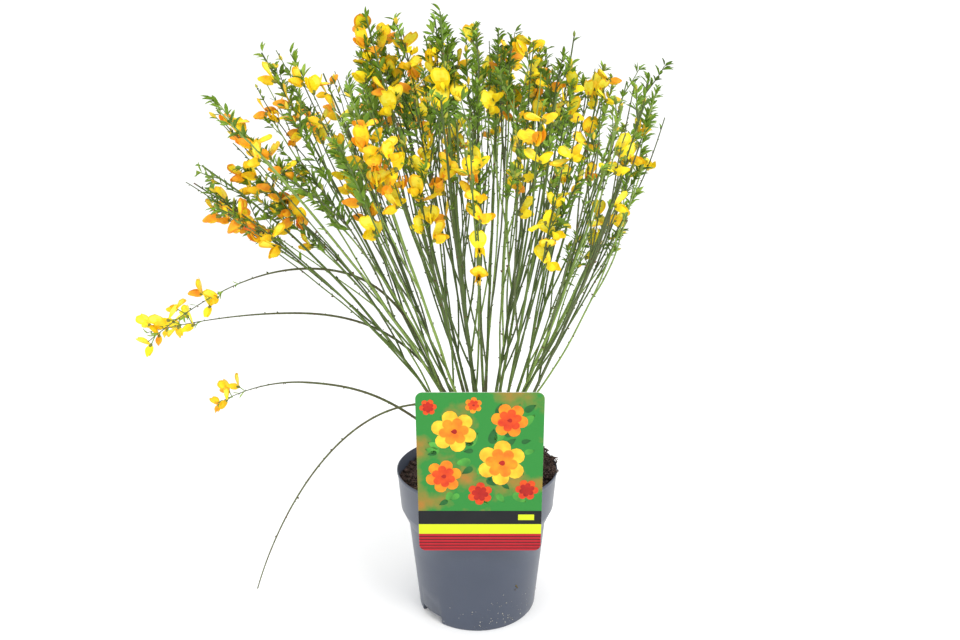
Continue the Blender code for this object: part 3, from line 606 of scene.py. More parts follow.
print_band(card, PICTURE_FOOT, LABEL_LENGTH, GREEN, INK)
print_band(card, *DARK_BAND, DARK, INK)
print_band(card, *LIME_BAND, LIME, INK)
print_band(card, 0.0, LIME_BAND[0], RED, INK)
for k in range(LINE_COUNT):
    line = LINE_FOOT + LINE_SPACING * k
    print_band(card, line, line + LINE_WIDTH, DARK, 2 * INK)
print_band(card, *LIME_PATCH, LIME, 2 * INK, *PATCH_SPAN)

draw = random.Random(5)
for _ in range(PRINT_LEAVES):
    x = draw.uniform(-0.052, 0.052)
    up = draw.uniform(PICTURE_FOOT + 0.006, LABEL_LENGTH - 0.008)
    tint = LEAF if draw.random() < 0.55 else SHADE
    length = draw.uniform(0.008, 0.016)
    turn = math.atan2(LABEL_LENGTH * 0.62 - up, -x) + draw.uniform(-0.7, 0.7)
    print_petal(card, x, up, turn, length, length * 0.34, tint, 2 * INK)
for x, up, size, depth in BLOOMS:
    start = draw.uniform(0, math.pi)
    for layer, share in enumerate((1.0, 0.66)):
        reach = min(size * share, 0.0575 - abs(x))
        for k in range(6):
            turn = start + math.radians(60 * k + 24 * layer)
            proud = (3 + layer + k / 8) * INK
            print_petal(card, x, up, turn, reach, size * share * 0.42, YELLOW + depth + layer, proud)
    print_petal(card, x - size * 0.13, up, 0.0, size * 0.27, size * 0.14, CORE, 6 * INK)

print_look = dict(grain=900.0, spread=0.1, shine=0.2)
edge_look = dict(patch=30.0, amount=0.4, roughness=0.4, relief=0.05)
ground_look = dict(patch=24.0, amount=0.95, roughness=0.4, relief=0.03, start=0.50)
card_finishes = [
    finish("card_edge", (226, 228, 222), (216, 218, 212), **edge_look, **print_look),
    finish("print_green", (48, 132, 56), (226, 96, 36), **ground_look, **print_look),
]
plain_inks = (
    ("dark", (24, 26, 29), (31, 33, 36)),
    ("lime", (206, 220, 34), (198, 212, 30)),
    ("red", (178, 30, 42), (166, 26, 38)),
)
picture_inks = (
    ("yellow", (246, 206, 56), (238, 158, 34)),
    ("amber", (238, 150, 30), (226, 104, 28)),
    ("orange", (222, 84, 26), (196, 48, 30)),
    ("core", (184, 40, 28), (136, 24, 24)),
    ("leaf", (88, 168, 66), (58, 128, 52)),
    ("shade", (32, 88, 42), (44, 108, 50)),
)
for inks, patch, amount in ((plain_inks, 60.0, 0.5), (picture_inks, 90.0, 0.9)):
    ink_look = dict(patch=patch, amount=amount, roughness=0.32, relief=0.03)
    card_finishes += family("print", inks, **ink_look, **print_look)
label_piece = card.piece("label_card", card_finishes, "label", "label")
label_piece.data.set_sharp_from_angle(angle=math.radians(30.0))

# Trunk and limbs.
# A short woody trunk in the compost, with a stub for each stem, then eighteen
# main stems and four long ones that arch over to the left. The bark is brown
# and fissured at the foot, and green with fine ribs from the boughs on.
TRUNK_X = 0.005
TRUNK_FOOT = COMPOST_TOP + GAP
TRUNK_PROFILE = ((0.0, 0.0125), (0.003, 0.0095), (0.009, 0.0078), (0.018, 0.0076), (0.025, 0.0062))
STUB_RADIUS = 0.0029
STUB_DEPTH = 0.009
STUB_NECK = 0.0034
TRUNK_SIDES = 48
TRUNK_RINGS = 30

# Where stems leave the trunk: the ring's radius, and its height above the compost
RINGS = {"low": (0.0150, 0.0150), "mid": (0.0115, 0.0265), "top": (0.0050, 0.0345)}

# Main stems: name, azimuth, reach, tip height, bow in degrees, ring, shoots, spread, flowers,
# how orange its flowers are, from 0 to 1, and how far up its shoots they centre
STEMS = (
    ("left_low", 186.0, 0.258, 0.466, -15.0, "low", 5, 0.034, 14, 0.8, 0.86),
    ("left_high", 180.0, 0.202, 0.570, -2.0, "mid", 4, 0.034, 8, 0.5, 0.78),
    ("left_front", 197.0, 0.232, 0.512, -8.0, "mid", 4, 0.036, 14, 0.7, 0.74),
    ("front_left", 230.0, 0.158, 0.530, 0.0, "low", 4, 0.036, 14, 0.6, 0.70),
    ("front", 258.0, 0.132, 0.514, 3.0, "mid", 4, 0.034, 12, 0.4, 0.68),
    ("front_right", 299.0, 0.132, 0.520, 5.0, "low", 4, 0.034, 9, 0.2, 0.72),
    ("right_front", 329.0, 0.145, 0.515, 7.0, "mid", 4, 0.034, 5, 0.1, 0.74),
    ("right_high", 359.0, 0.162, 0.545, 8.0, "low", 4, 0.028, 4, 0.1, 0.70),
    ("right_low", 14.0, 0.148, 0.425, 3.0, "mid", 4, 0.030, 6, 0.0, 0.82),
    ("right_back", 34.0, 0.163, 0.572, 6.0, "low", 4, 0.036, 7, 0.1, 0.84),
    ("back_right", 60.0, 0.165, 0.570, 5.0, "mid", 4, 0.036, 9, 0.3, 0.84),
    ("back", 92.0, 0.152, 0.580, 5.0, "low", 4, 0.036, 9, 0.4, 0.86),
    ("back_left", 124.0, 0.168, 0.580, 3.0, "mid", 4, 0.036, 10, 0.5, 0.84),
    ("left_back", 152.0, 0.185, 0.562, 0.0, "low", 4, 0.036, 11, 0.6, 0.80),
    ("inner_left", 185.0, 0.102, 0.598, 0.0, "top", 5, 0.034, 17, 0.5, 0.88),
    ("inner_front", 236.0, 0.055, 0.585, 2.0, "top", 4, 0.032, 9, 0.3, 0.76),
    ("inner_right", 340.0, 0.062, 0.580, 3.0, "top", 5, 0.034, 22, 0.2, 0.90),
    ("inner_back", 70.0, 0.064, 0.600, 2.0, "top", 4, 0.032, 10, 0.3, 0.88),
)
BOUGH_SHARE = 0.17
BOUGH_RADIUS = 0.0027
FORK_RADIUS = 0.0021
LEADER_TIP_RADIUS = 0.0008

# How much slimmer than in the CAD the real stems are: boughs at their foot, shoots, arching stems
BOUGH_SLIM = 0.9
SLIM = 0.72
ARCH_SLIM = 0.76

# Arching stems: name, azimuth, reach and height of the apex, reach and height of the tip, ring,
# lean at the root, fall of the path at the tip, share of the falling half where the spray starts,
# flowers
ARCHES = (
    ("arch_high", 192.0, 0.168, 0.370, 0.312, 0.306, "mid", 24.0, 38.0, 0.36, 12),
    ("arch_middle", 179.0, 0.185, 0.319, 0.340, 0.298, "mid", 22.0, 14.0, 0.56, 8),
    ("arch_low", 170.0, 0.190, 0.236, 0.295, 0.206, "low", 52.0, 30.0, 0.60, 5),
    ("arch_drooping", 202.0, 0.070, 0.231, 0.230, 0.064, "low", 30.0, 72.0, 1.0, 0),
)
ARCH_RADII = (0.0019, 0.0014, 0.0007)


def along(curve, t):
    """The point at t from 0 to 1 on a Bezier curve of four points."""
    a, b, c, d = curve
    s = 1.0 - t
    return a * s**3 + b * (3 * s * s * t) + c * (3 * s * t * t) + d * t**3


def heading(curve, t):
    """The slope of the curve at t."""
    a, b, c, d = curve
    s = 1.0 - t
    return (b - a) * (3 * s * s) + (c - b) * (6 * s * t) + (d - c) * (3 * t * t)


def leaning(out, lean):
    """The direction that leans from upright by that many degrees."""
    angle = math.radians(lean)
    return out * math.sin(angle) + Vector((0.0, 0.0, math.cos(angle)))


def stem_roots():
    """Where each stem leaves the trunk. Those of one ring stand evenly round it, in order of azimuth."""
    found = {}
    for ring, (radius, height) in RINGS.items():
        members = [(stem[1], stem[0]) for stem in STEMS if stem[5] == ring]
        members += [(arch[1], arch[0]) for arch in ARCHES if arch[6] == ring]
        members.sort()
        step = 360.0 / len(members)
        turn = sum(azimuth - step * k for k, (azimuth, _) in enumerate(members)) / len(members)
        for k, (_, name) in enumerate(members):
            found[name] = Vector((TRUNK_X, 0.0, COMPOST_TOP + height)) + outward(turn + step * k) * radius
    return found


def stem_curve(root, azimuth, reach, height, bow):
    """The path of a main stem from the trunk to its tip."""
    tip = outward(azimuth) * reach + Vector((0.0, 0.0, height))
    chord = tip - root
    out = Vector((chord.x, chord.y, 0.0)).normalized()
    lean = math.degrees(math.atan2(chord.dot(out), chord.z))
    third = chord.length / 3
    return root, root + leaning(out, lean + bow) * third, tip - leaning(out, lean - bow) * third, tip


def arch_curves(root, azimuth, apex_reach, apex_height, tip_reach, tip_height, lean, drop):
    """The rising and the falling half of an arching stem."""
    out = outward(azimuth)
    apex = out * apex_reach + Vector((0.0, 0.0, apex_height))
    tip = out * tip_reach + Vector((0.0, 0.0, tip_height))
    rise, fall = (apex - root).length, (tip - apex).length
    up = (root, root + leaning(out, lean) * rise * 0.5, apex - out * rise * 0.38, apex)
    down = (apex, apex + out * fall * 0.36, tip - leaning(out, 90.0 + drop) * fall * 0.3, tip)
    return up, down


def path_points(curve, start, end, steps):
    """Points at even shares of part of a curve."""
    return [along(curve, start + (end - start) * i / steps) for i in range(steps + 1)]


def add_rod(gathering, points, radii, sides, which, ribs=0.0, knots=0.0, seed=0.0):
    """Adds a round shoot along a path. ribs is how deep its ribs are, knots how much its joints swell."""
    pts = np.array([tuple(p) for p in points])
    ahead = np.gradient(pts, axis=0)
    ahead /= np.linalg.norm(ahead, axis=1)[:, None]
    across = np.array(Vector(ahead[0]).orthogonal().normalized())
    rings = []
    turns = 2 * np.pi * np.arange(sides) / sides
    shape = 1.0 + ribs * np.where(np.arange(sides) % 2 == 0, 1.0, -1.0)
    for i, (point, way) in enumerate(zip(pts, ahead)):
        across = across - way * (across @ way)
        across /= np.linalg.norm(across)
        up = np.cross(way, across)
        swell = 1.0 + knots * (0.5 + 0.5 * math.sin(2.1 * i + seed))
        radius = radii[0] + (radii[1] - radii[0]) * i / (len(pts) - 1)
        ring = np.outer(np.cos(turns) * shape, across) + np.outer(np.sin(turns) * shape, up)
        rings.append(point + ring * radius * swell)
    gathering.add(np.concatenate(rings), ring_faces(len(pts), sides)[:, ::-1], which)
    for end in (0, len(pts) - 1):
        cap = np.concatenate([rings[end], [pts[end]]])
        k = np.arange(sides)
        tri = np.stack([k, (k + 1) % sides, np.full(sides, sides)], 1)
        gathering.add(cap, tri if end else tri[:, ::-1], which)


roots = stem_roots()
stems = {stem[0]: stem_curve(roots[stem[0]], *stem[1:5]) for stem in STEMS}
arches = {arch[0]: arch_curves(roots[arch[0]], *arch[1:6], *arch[7:9]) for arch in ARCHES}

trunk = Gathering()
trunk_points = []
heights = [height for height, _ in TRUNK_PROFILE]
for i in range(TRUNK_RINGS):
    height = heights[-1] * i / (TRUNK_RINGS - 1)
    radius = np.interp(height, heights, [r for _, r in TRUNK_PROFILE])
    for k in range(TRUNK_SIDES):
        angle = 2 * math.pi * k / TRUNK_SIDES
        flute = 0.5 * math.sin(7 * angle + 40 * height) + 0.5 * math.sin(12 * angle - 90 * height)
        grain = noise.noise(Vector((math.cos(angle) * 3, math.sin(angle) * 3, height * 120)))
        reach = radius * (1.0 - 0.07 + 0.05 * flute + 0.09 * grain)
        trunk_points.append((TRUNK_X + reach * math.cos(angle), reach * math.sin(angle), TRUNK_FOOT + height))
trunk.add(trunk_points, ring_faces(TRUNK_RINGS, TRUNK_SIDES)[:, ::-1])
crown = [*trunk_points[-TRUNK_SIDES:], (TRUNK_X, 0.0, TRUNK_FOOT + heights[-1] + 0.004)]
trunk.add(crown, [(k, (k + 1) % TRUNK_SIDES, TRUNK_SIDES) for k in range(TRUNK_SIDES)])
for number, curve in enumerate([*stems.values(), *(rise for rise, _ in arches.values())]):
    way = (curve[1] - curve[0]).normalized()
    heart = Vector((TRUNK_X, 0.0, curve[0].z - STUB_DEPTH))
    bend = (heart, curve[0] - way * STUB_NECK * 1.6, curve[0] - way * STUB_NECK * 0.6, curve[0] - way * GAP)
    stub_radii = (STUB_RADIUS * 1.05, STUB_RADIUS * 0.95)
    add_rod(trunk, path_points(bend, 0.0, 1.0, 10), stub_radii, 14, 0, ribs=0.05, knots=0.08, seed=number)
bark_look = dict(patch=160.0, grain=1400.0, amount=0.9, roughness=0.85, spread=0.15, relief=0.8, shine=0.3)
bark_finish = finish("brown_bark", (104, 92, 68), (66, 54, 40), **bark_look)
trunk.piece("trunk_bark", [bark_finish], "trunk", "trunk")

limbs = Gathering()
slim = [radius * ARCH_SLIM for radius in ARCH_RADII]
bough_radii = (BOUGH_RADIUS * BOUGH_SLIM, FORK_RADIUS * SLIM)
for number, curve in enumerate(stems.values()):
    points = path_points(curve, 0.0, BOUGH_SHARE, 24)
    add_rod(limbs, points, bough_radii, 16, number % 3, ribs=0.05, knots=0.06, seed=number)
for number, (arch, (rise, fall)) in enumerate(zip(ARCHES, arches.values())):
    for points, radii in (
        (path_points(rise, 0.0, 1.0, 70), slim[:2]),
        (path_points(fall, 0.0, arch[9], 50), slim[1:]),
    ):
        add_rod(limbs, points, radii, 12, 2, ribs=0.07, knots=0.10, seed=number)
limb_tints = (
    ("olive", (88, 104, 54), (76, 78, 44)),
    ("green", (100, 120, 62), (80, 94, 48)),
    ("brown", (86, 94, 54), (76, 70, 44)),
)
limb_look = dict(patch=90.0, grain=1500.0, amount=0.8, roughness=0.6, spread=0.15, relief=0.5, shine=0.3)
limb_finishes = family("limb", limb_tints, **limb_look)
limb_nodes = [f"bough_{name}" for name in stems]
limb_nodes += [f"{name}_{half}" for name in arches for half in ("rise", "fall")]
limbs.piece("boughs_and_arches", limb_finishes, "stems", *limb_nodes)

# Shoots.
# Above its fork each bough is a leading shoot with others branching off it,
# slender, ribbed and green, and finer twigs on those. Some end in leafy
# growth, and others were pruned and end in a dry brown tip.
SHOOT_RADIUS = 0.0013
SHOOT_TIP_RADIUS = 0.0006
SLENDER_RADII = (0.0008, 0.00045)
SLENDER_LENGTHS = (0.80, 1.0)
SLENDER_DRIFT = (0.008, 0.028)
SLENDER_PER_SHOOT = {"low": 1, "mid": 1, "top": 2}
TWIG_RADII = (0.0006, 0.0004)
FORKS = (0.01, 0.30)
SHOOT_LENGTHS = (0.74, 1.02)
TURN = math.radians(137.5)
SEED = 4100
TWIGS_PER_SHOOT = 2
PRUNED_SHARE = 0.34
PRUNED_END = 0.93
DRY_TIP_LENGTH = 0.003
DRY_TIP = 4
NUBS_PER_SHOOT = 16
NUB_SIZES = (0.0010, 0.0026)


def shoots_of(stem, leader, index):
    """The shoots of one mass as Bezier curves, drawn as in the CAD."""
    azimuth, count, spread = stem[1], stem[6], stem[7]
    rng = random.Random(SEED + index)
    side, found = outward(azimuth + 90.0), []
    out = outward(azimuth)
    first = rng.uniform(0.0, 2 * math.pi)
    for k in range(count):
        rise = FORKS[0] + (FORKS[1] - FORKS[0]) * (k + rng.random()) / count
        fork = BOUGH_SHARE + (1.0 - BOUGH_SHARE) * rise
        start, ahead = along(leader, fork), heading(leader, fork).normalized()
        angle = first + TURN * k + rng.uniform(-0.3, 0.3)
        drift = (side * math.cos(angle) + out * math.sin(angle) * 0.9) * spread * rng.uniform(0.75, 1.1)
        tip = start + (leader[3] - start) * rng.uniform(*SHOOT_LENGTHS) + drift
        third = (tip - start).length / 3
        turn_out = (ahead + drift.normalized() * 0.30).normalized()
        end_way = (heading(leader, 1.0).normalized() + drift.normalized() * 0.10).normalized()
        found.append((start, start + turn_out * third, tip - end_way * third, tip))
    return found


def off_shoot(rng, curve, t, lean):
    """A place on a shoot and a direction that leans away from it there."""
    point, ahead = along(curve, t), heading(curve, t).normalized()
    angle = rng.uniform(0.0, 2 * math.pi)
    across = ahead.orthogonal().normalized()
    away = across * math.cos(angle) + ahead.cross(across) * math.sin(angle)
    return point, (ahead + away * lean).normalized(), ahead


def set_out(gathering, shape, faces, places, ways, normals, sizes, which):
    """Adds a copy of a shape at each place: its x along the way, its z near the normal, scaled by sizes."""
    ways = np.asarray(ways, float)
    ways /= np.linalg.norm(ways, axis=1)[:, None]
    across = np.cross(np.asarray(normals, float), ways)
    across /= np.maximum(np.linalg.norm(across, axis=1)[:, None], 1e-9)
    up = np.cross(ways, across)
    local = shape[None] * np.asarray(sizes, float)[:, None, :]
    axes = np.stack([ways, across, up], 1)
    points = local @ axes + np.asarray(places, float)[:, None]
    step = len(shape) * np.arange(len(points))[:, None, None]
    marks = np.asarray(which)
    marks = np.repeat(marks, len(faces)) if marks.ndim == 1 else marks.ravel()
    gathering.add(points.reshape(-1, 3), (faces[None] + step).reshape(-1, faces.shape[1]), marks)


def slender_beside(rng, curve, goal):
    """A slender shoot that forks off another one and grows up beside it towards a goal."""
    fork = rng.uniform(0.30, 0.62)
    begin, ahead = along(curve, fork), heading(curve, fork).normalized()
    end_way = heading(curve, 1.0).normalized()
    across = end_way.orthogonal().normalized()
    angle = rng.uniform(0.0, 2 * math.pi)
    drift = (across * math.cos(angle) + end_way.cross(across) * math.sin(angle)) * rng.uniform(*SLENDER_DRIFT)
    tip = begin + (goal - begin) * rng.uniform(*SLENDER_LENGTHS) + drift
    third = (tip - begin).length / 3
    turn_out = (ahead + drift.normalized() * 0.22).normalized()
    return begin, begin + turn_out * third, tip - end_way * third, tip


def wandering(points, scale, amount):
    """The points of a shoot moved a little off its path, though not at its root, by seeded noise."""
    moved = []
    for i, p in enumerate(points):
        moved.append(p + Vector(noise.noise_vector(p * scale)) * amount * min(1.0, i / 8))
    return moved


# Each carrier bears leaves or flowers: the number of its mass, its curve, where on it growth starts
# and ends, its thickness there, and whether its tip grows on
carriers = []
shoots = Gathering()
noise.seed_set(SEED)
for index, stem in enumerate(STEMS):
    rng_twigs = random.Random(SEED + 300 + index)
    leader = stems[stem[0]]
    curves = [(leader, BOUGH_SHARE, (FORK_RADIUS * SLIM, LEADER_TIP_RADIUS))]
    for curve in shoots_of(stem, leader, index):
        curves.append((curve, 0.0, (SHOOT_RADIUS * SLIM, SHOOT_TIP_RADIUS)))
    for number, (curve, start, radii) in enumerate(curves):
        tint = rng_twigs.choice((0, 0, 1, 1, 2, 3))
        pruned = rng_twigs.random() < PRUNED_SHARE
        end = PRUNED_END if pruned else 1.0
        points = wandering(path_points(curve, start, end, 44), 22.0, 0.0012)
        add_rod(shoots, points, radii, 10, tint, ribs=0.07, knots=0.10, seed=number)
        if pruned:
            tip = [points[-1], points[-1] + (points[-1] - points[-2]).normalized() * DRY_TIP_LENGTH]
            add_rod(shoots, tip, (radii[1] * 1.15, radii[1] * 0.95), 10, DRY_TIP)
        carriers.append((index, curve, start, end, radii, not pruned))
        for _ in range(SLENDER_PER_SHOOT[stem[5]]):
            goal = leader[3] if rng_twigs.random() < 0.7 else curve[3]
            slender = slender_beside(rng_twigs, curve, goal)
            path = wandering(path_points(slender, 0.0, 1.0, 30), 30.0, 0.001)
            add_rod(shoots, path, SLENDER_RADII, 6, tint, ribs=0.06, knots=0.10, seed=number)
            carriers.append((index, slender, 0.0, 1.0, SLENDER_RADII, rng_twigs.random() > PRUNED_SHARE))
        for _ in range(TWIGS_PER_SHOOT):
            t = start + (end - start) * rng_twigs.uniform(0.74, 0.98)
            point, way, ahead = off_shoot(rng_twigs, curve, t, rng_twigs.uniform(0.35, 0.6))
            length = rng_twigs.uniform(0.012, 0.042) * (1.15 - 0.5 * t)
            tip = point + way * length + Vector((0, 0, length * 0.12))
            twig = (point, point + way * length * 0.4, tip - (ahead + way) * length * 0.15, tip)
            add_rod(shoots, path_points(twig, 0.0, 1.0, 8), TWIG_RADII, 6, tint, knots=0.1, seed=number)
            carriers.append((index, twig, 0.0, 1.0, TWIG_RADII, True))
for arch in ARCHES:
    if arch[10]:
        path = path_points(arches[arch[0]][1], arch[9], 1.0, 30)
        add_rod(shoots, path, (slim[2], slim[2] * 0.7), 8, 2, ribs=0.05, knots=0.1)
nub = np.array([(0.9, 0, 0), (0, 1, 0), (0, 0, 1), (0, -1, 0), (0, 0, -1)], float) * (1.0, 0.5, 0.5)
nub_faces = np.array([(0, 1, 2), (0, 2, 3), (0, 3, 4), (0, 4, 1)])
rng_nubs = random.Random(SEED + 400)
nub_sets = []
bearing = [carrier[1:5] for carrier in carriers if carrier[4] != TWIG_RADII]
bearing += [(half, 0.1, 1.0, (slim[1], slim[2])) for pair in arches.values() for half in pair]
for curve, start, end, radii in bearing:
    for k in range(NUBS_PER_SHOOT):
        share = (k + rng_nubs.random()) / NUBS_PER_SHOOT
        point, way, ahead = off_shoot(rng_nubs, curve, start + (end - start) * share, 1.3)
        away = (way - ahead * way.dot(ahead)).normalized()
        size = rng_nubs.uniform(*NUB_SIZES)
        place = point + away * (radii[0] + (radii[1] - radii[0]) * share) * 0.9
        nub_sets.append((tuple(place), tuple(way), tuple(ahead), (size, size, size)))
nub_tints = [rng_nubs.choice((1, 2, 4)) for _ in nub_sets]
set_out(shoots, nub, nub_faces, *zip(*nub_sets), nub_tints)
live_look = dict(patch=120.0, grain=1500.0, amount=0.8, spread=0.15, relief=0.4, shine=0.3)
dry_look = dict(patch=300.0, grain=2000.0, amount=0.8, roughness=0.8, spread=0.1, relief=0.5, shine=0.3)
shoot_finishes = [
    finish("shoot_green", (100, 122, 58), (82, 102, 48), roughness=0.55, **live_look),
    finish("shoot_dark", (80, 98, 48), (66, 80, 40), roughness=0.55, **live_look),
    finish("shoot_grey", (100, 112, 74), (84, 90, 60), roughness=0.6, **live_look),
    finish("shoot_pale", (140, 166, 84), (112, 138, 70), roughness=0.5, **live_look),
    finish("dry_tip", (112, 88, 62), (76, 58, 42), **dry_look),
]
mass_nodes = [f"mass_{stem[0]}" for stem in STEMS]
spray_nodes = [f"spray_{arch[0]}" for arch in ARCHES if arch[10]]
shoots.piece("shoots", shoot_finishes, "shoots", *mass_nodes, *spray_nodes)

# Leaves.
# Small lance-shaped leaflets, folded a little along the midrib, two or three
# to a node on twigs and leafy tips and one to three elsewhere. The finish runs
# from deep green to the bright green of young growth.
LEAF_LENGTHS = (0.0095, 0.0155)
LEAF_WIDTH_SHARE = 0.26
BARE_SHARE = 0.66
SPARSE_SPACING = 0.030
ARCH_SPACING = 0.011
TWIG_SPACING = 0.006
LUSH_SHARES = {"left": 0.5, "front": 0.35, "right": 0.2, "back": 0.45, "inner": 0.85}
LUSH_SPACING = 0.0046
LUSH_LENGTHS = (0.03, 0.09)
LEAF_TONES = 5


def leaf_shape():
    """Points and triangles of one leaflet, one long and one wide, with its stalk end at the origin."""
    points = [(0.0, 0.0, 0.0)]
    for ahead, width in ((0.28, 0.76), (0.56, 1.0), (0.82, 0.60)):
        for side in (-1, 0, 1):
            points.append((ahead, side * width * 0.5, 0.35 * abs(side) * width - 0.35 * ahead**2))
    points.append((1.0, 0.0, -0.42))
    faces = [(0, 2, 1), (0, 3, 2), (10, 7, 8), (10, 8, 9)]
    for row in (1, 4):
        for k in (row, row + 1):
            faces += [(k, k + 1, k + 4), (k, k + 4, k + 3)]
    return np.array(points), np.array(faces)


def jitter(rng, amount):
    """A random offset of up to that amount along each axis."""
    return Vector([rng.uniform(-amount, amount) for _ in "xyz"])


for number, arch in enumerate(ARCHES):
    if arch[10]:
        fall = arches[arch[0]][1]
        carriers.append((len(STEMS) + number, fall, arch[9], 1.0, (ARCH_RADII[2],) * 2, True))

leaf_sets = []
rng_leaves = random.Random(SEED + 600)


def leaf_node(curve, t, radius, count, scale, tone):
    """Adds the leaflets of one node of a shoot: they fan out from one side of it."""
    point, way, ahead = off_shoot(rng_leaves, curve, t, rng_leaves.uniform(0.5, 1.2))
    side = ahead.cross(way).normalized()
    for k in range(count):
        fan = 0.0 if count == 1 else 0.62 * (2 * k / (count - 1) - 1)
        leaflet = (way + side * fan + jitter(rng_leaves, 0.2)).normalized()
        length = rng_leaves.uniform(*LEAF_LENGTHS) * scale * (1.0 - 0.22 * abs(fan))
        width = length * LEAF_WIDTH_SHARE * rng_leaves.uniform(0.85, 1.25)
        place = point + (way - ahead * way.dot(ahead)).normalized() * radius
        normal = ahead + jitter(rng_leaves, 0.5)
        sizes = (length, width, width * rng_leaves.uniform(0.6, 1.6))
        tint = int(LEAF_TONES * (tone + rng_leaves.uniform(-0.22, 0.22)))
        tint = max(0, min(LEAF_TONES - 1, tint))
        leaf_sets.append((tuple(place), tuple(leaflet), tuple(normal), sizes, tint))


for index, curve, start, end, radii, grows in carriers:
    length = (along(curve, end) - along(curve, start)).length
    tone = rng_leaves.uniform(0.25, 0.75)
    if radii == TWIG_RADII:
        for k in range(round(length / TWIG_SPACING)):
            t = min(1.0, 0.25 + k * TWIG_SPACING / length)
            leaf_node(curve, t, radii[1], rng_leaves.choice((2, 3)), 0.85, tone)
        leaf_node(curve, 1.0, radii[1], 3, 0.8, tone + 0.1)
        continue
    is_arch = index >= len(STEMS)
    reach, spacing = (0.0, ARCH_SPACING) if is_arch else (BARE_SHARE, SPARSE_SPACING)
    tone += 0.3 if is_arch else 0.0
    for k in range(round(length * (1 - reach) / spacing)):
        share = reach + (1 - reach) * (k + rng_leaves.random()) * spacing / (length * (1 - reach))
        t = start + (end - start) * min(1.0, share)
        leaf_node(curve, t, radii[1], rng_leaves.choice((1, 2, 3)), 0.68, tone)
    lush_share = 0.0 if is_arch else LUSH_SHARES[STEMS[index][0].split("_")[0]]
    if grows and rng_leaves.random() < lush_share:
        lush = rng_leaves.uniform(*LUSH_LENGTHS)
        for k in range(round(lush / LUSH_SPACING)):
            t = end - (end - start) * lush / length * (k / (lush / LUSH_SPACING))
            leaf_node(curve, max(start, t), radii[1], 3, 0.75 + 0.4 * k * LUSH_SPACING / lush, tone + 0.15)
leaves = Gathering()
set_out(leaves, *leaf_shape(), *zip(*leaf_sets))
leaf_look = dict(patch=90.0, grain=2600.0, amount=0.8, spread=0.15, relief=0.25, shine=0.28)
leaf_finishes = [
    finish("leaf_deep", (80, 108, 26), (66, 92, 22), roughness=0.5, **leaf_look),
    finish("leaf_dark", (96, 128, 32), (82, 112, 26), roughness=0.5, **leaf_look),
    finish("leaf_mid", (114, 150, 42), (98, 132, 34), roughness=0.48, **leaf_look),
    finish("leaf_bright", (136, 172, 56), (118, 154, 46), roughness=0.46, **leaf_look),
    finish("leaf_young", (158, 188, 78), (138, 172, 62), roughness=0.46, **leaf_look),
]
leaves.piece("leaves", leaf_finishes, "shoots")

# Flowers.
# Pea flowers, 18 mm across: a notched standard that opens upwards and folds
# back at its sides, two wings held forward, and a boat-shaped keel between
# them, in a green calyx on a thin stalk. Standards run from lemon to gold
# with an orange throat, and the wings from gold to orange and bronze.
FLOWER_SHARE = 1.4
FLOWERING_SHARE = 0.38
ARCH_FLOWER_SHARE = 0.72
ARCH_FLOWER_SIZE = 0.82
FLOWER_SPACING = 0.0105
STANDARD_WIDTH = 0.0185
STANDARD_LENGTH = 0.0175
WING_LENGTH = 0.0135
WING_WIDTH = 0.0070
KEEL_LENGTH = 0.0125
STALK = 0.0065
BLOOM_TOP = 0.95
BLOOM_SHIFT = 0.07
BLOOM_SPREAD = 0.065
FLOWER_SIZES = (0.78, 1.08)
OPENINGS = (0.1, 0.35, 0.65, 1.0)
ARCH_ORANGE = (0.2, 0.1, 0.8, 0.5)


def grid_faces(rows, columns):
    """Faces of a grid of points given row by row."""
    return [
        (r * columns + c, r * columns + c + 1, (r + 1) * columns + c + 1, (r + 1) * columns + c)
        for r in range(rows - 1)
        for c in range(columns - 1)
    ]


def standard_shape(openness):
    """The standard, x forward and z up: a hood at openness 0, laid back with its sides folded at 1."""
    points, zones = [], []
    rows, columns = 9, 9
    tilt = math.radians(48 - 62 * openness)
    fold = 0.75 - 1.45 * openness
    for r in range(rows):
        b = r / (rows - 1)
        width = STANDARD_WIDTH * (0.12 + 0.88 * math.sin(math.pi * min(1.0, 0.04 + 0.72 * b)) ** 0.8) / 2
        width *= math.sqrt(max(0.0, 1.0 - max(0.0, (b - 0.62) / 0.46) ** 2.4))
        for c in range(columns):
            a = 2 * c / (columns - 1) - 1
            rise = STANDARD_LENGTH * (b - 0.10 * b**4 * (1 - abs(a)) ** 2)
            bend = 0.004 * (0.4 - openness) * b * b + 0.0005 * math.sin(4.2 * a + 5 * b) * b
            swept = fold * abs(a) ** 1.3 * width * (0.35 + 0.65 * b)
            x = rise * math.sin(tilt) + (swept + bend) * math.cos(tilt)
            z = rise * math.cos(tilt) - (swept + bend) * math.sin(tilt)
            points.append((x + 0.001, a * width * (1 - 0.18 * abs(fold)), z + 0.0008))
    for r in range(rows - 1):
        for c in range(columns - 1):
            a, b = abs((c + 0.5) / (columns - 1) * 2 - 1), (r + 0.5) / (rows - 1)
            throat, blush = b < 0.30 and a < 0.30, b < 0.52 - 0.3 * a
            zones.append(3 if throat else 2 if blush else 0 if b > 0.86 or a > 0.86 else 1)
    return points, grid_faces(rows, columns), zones


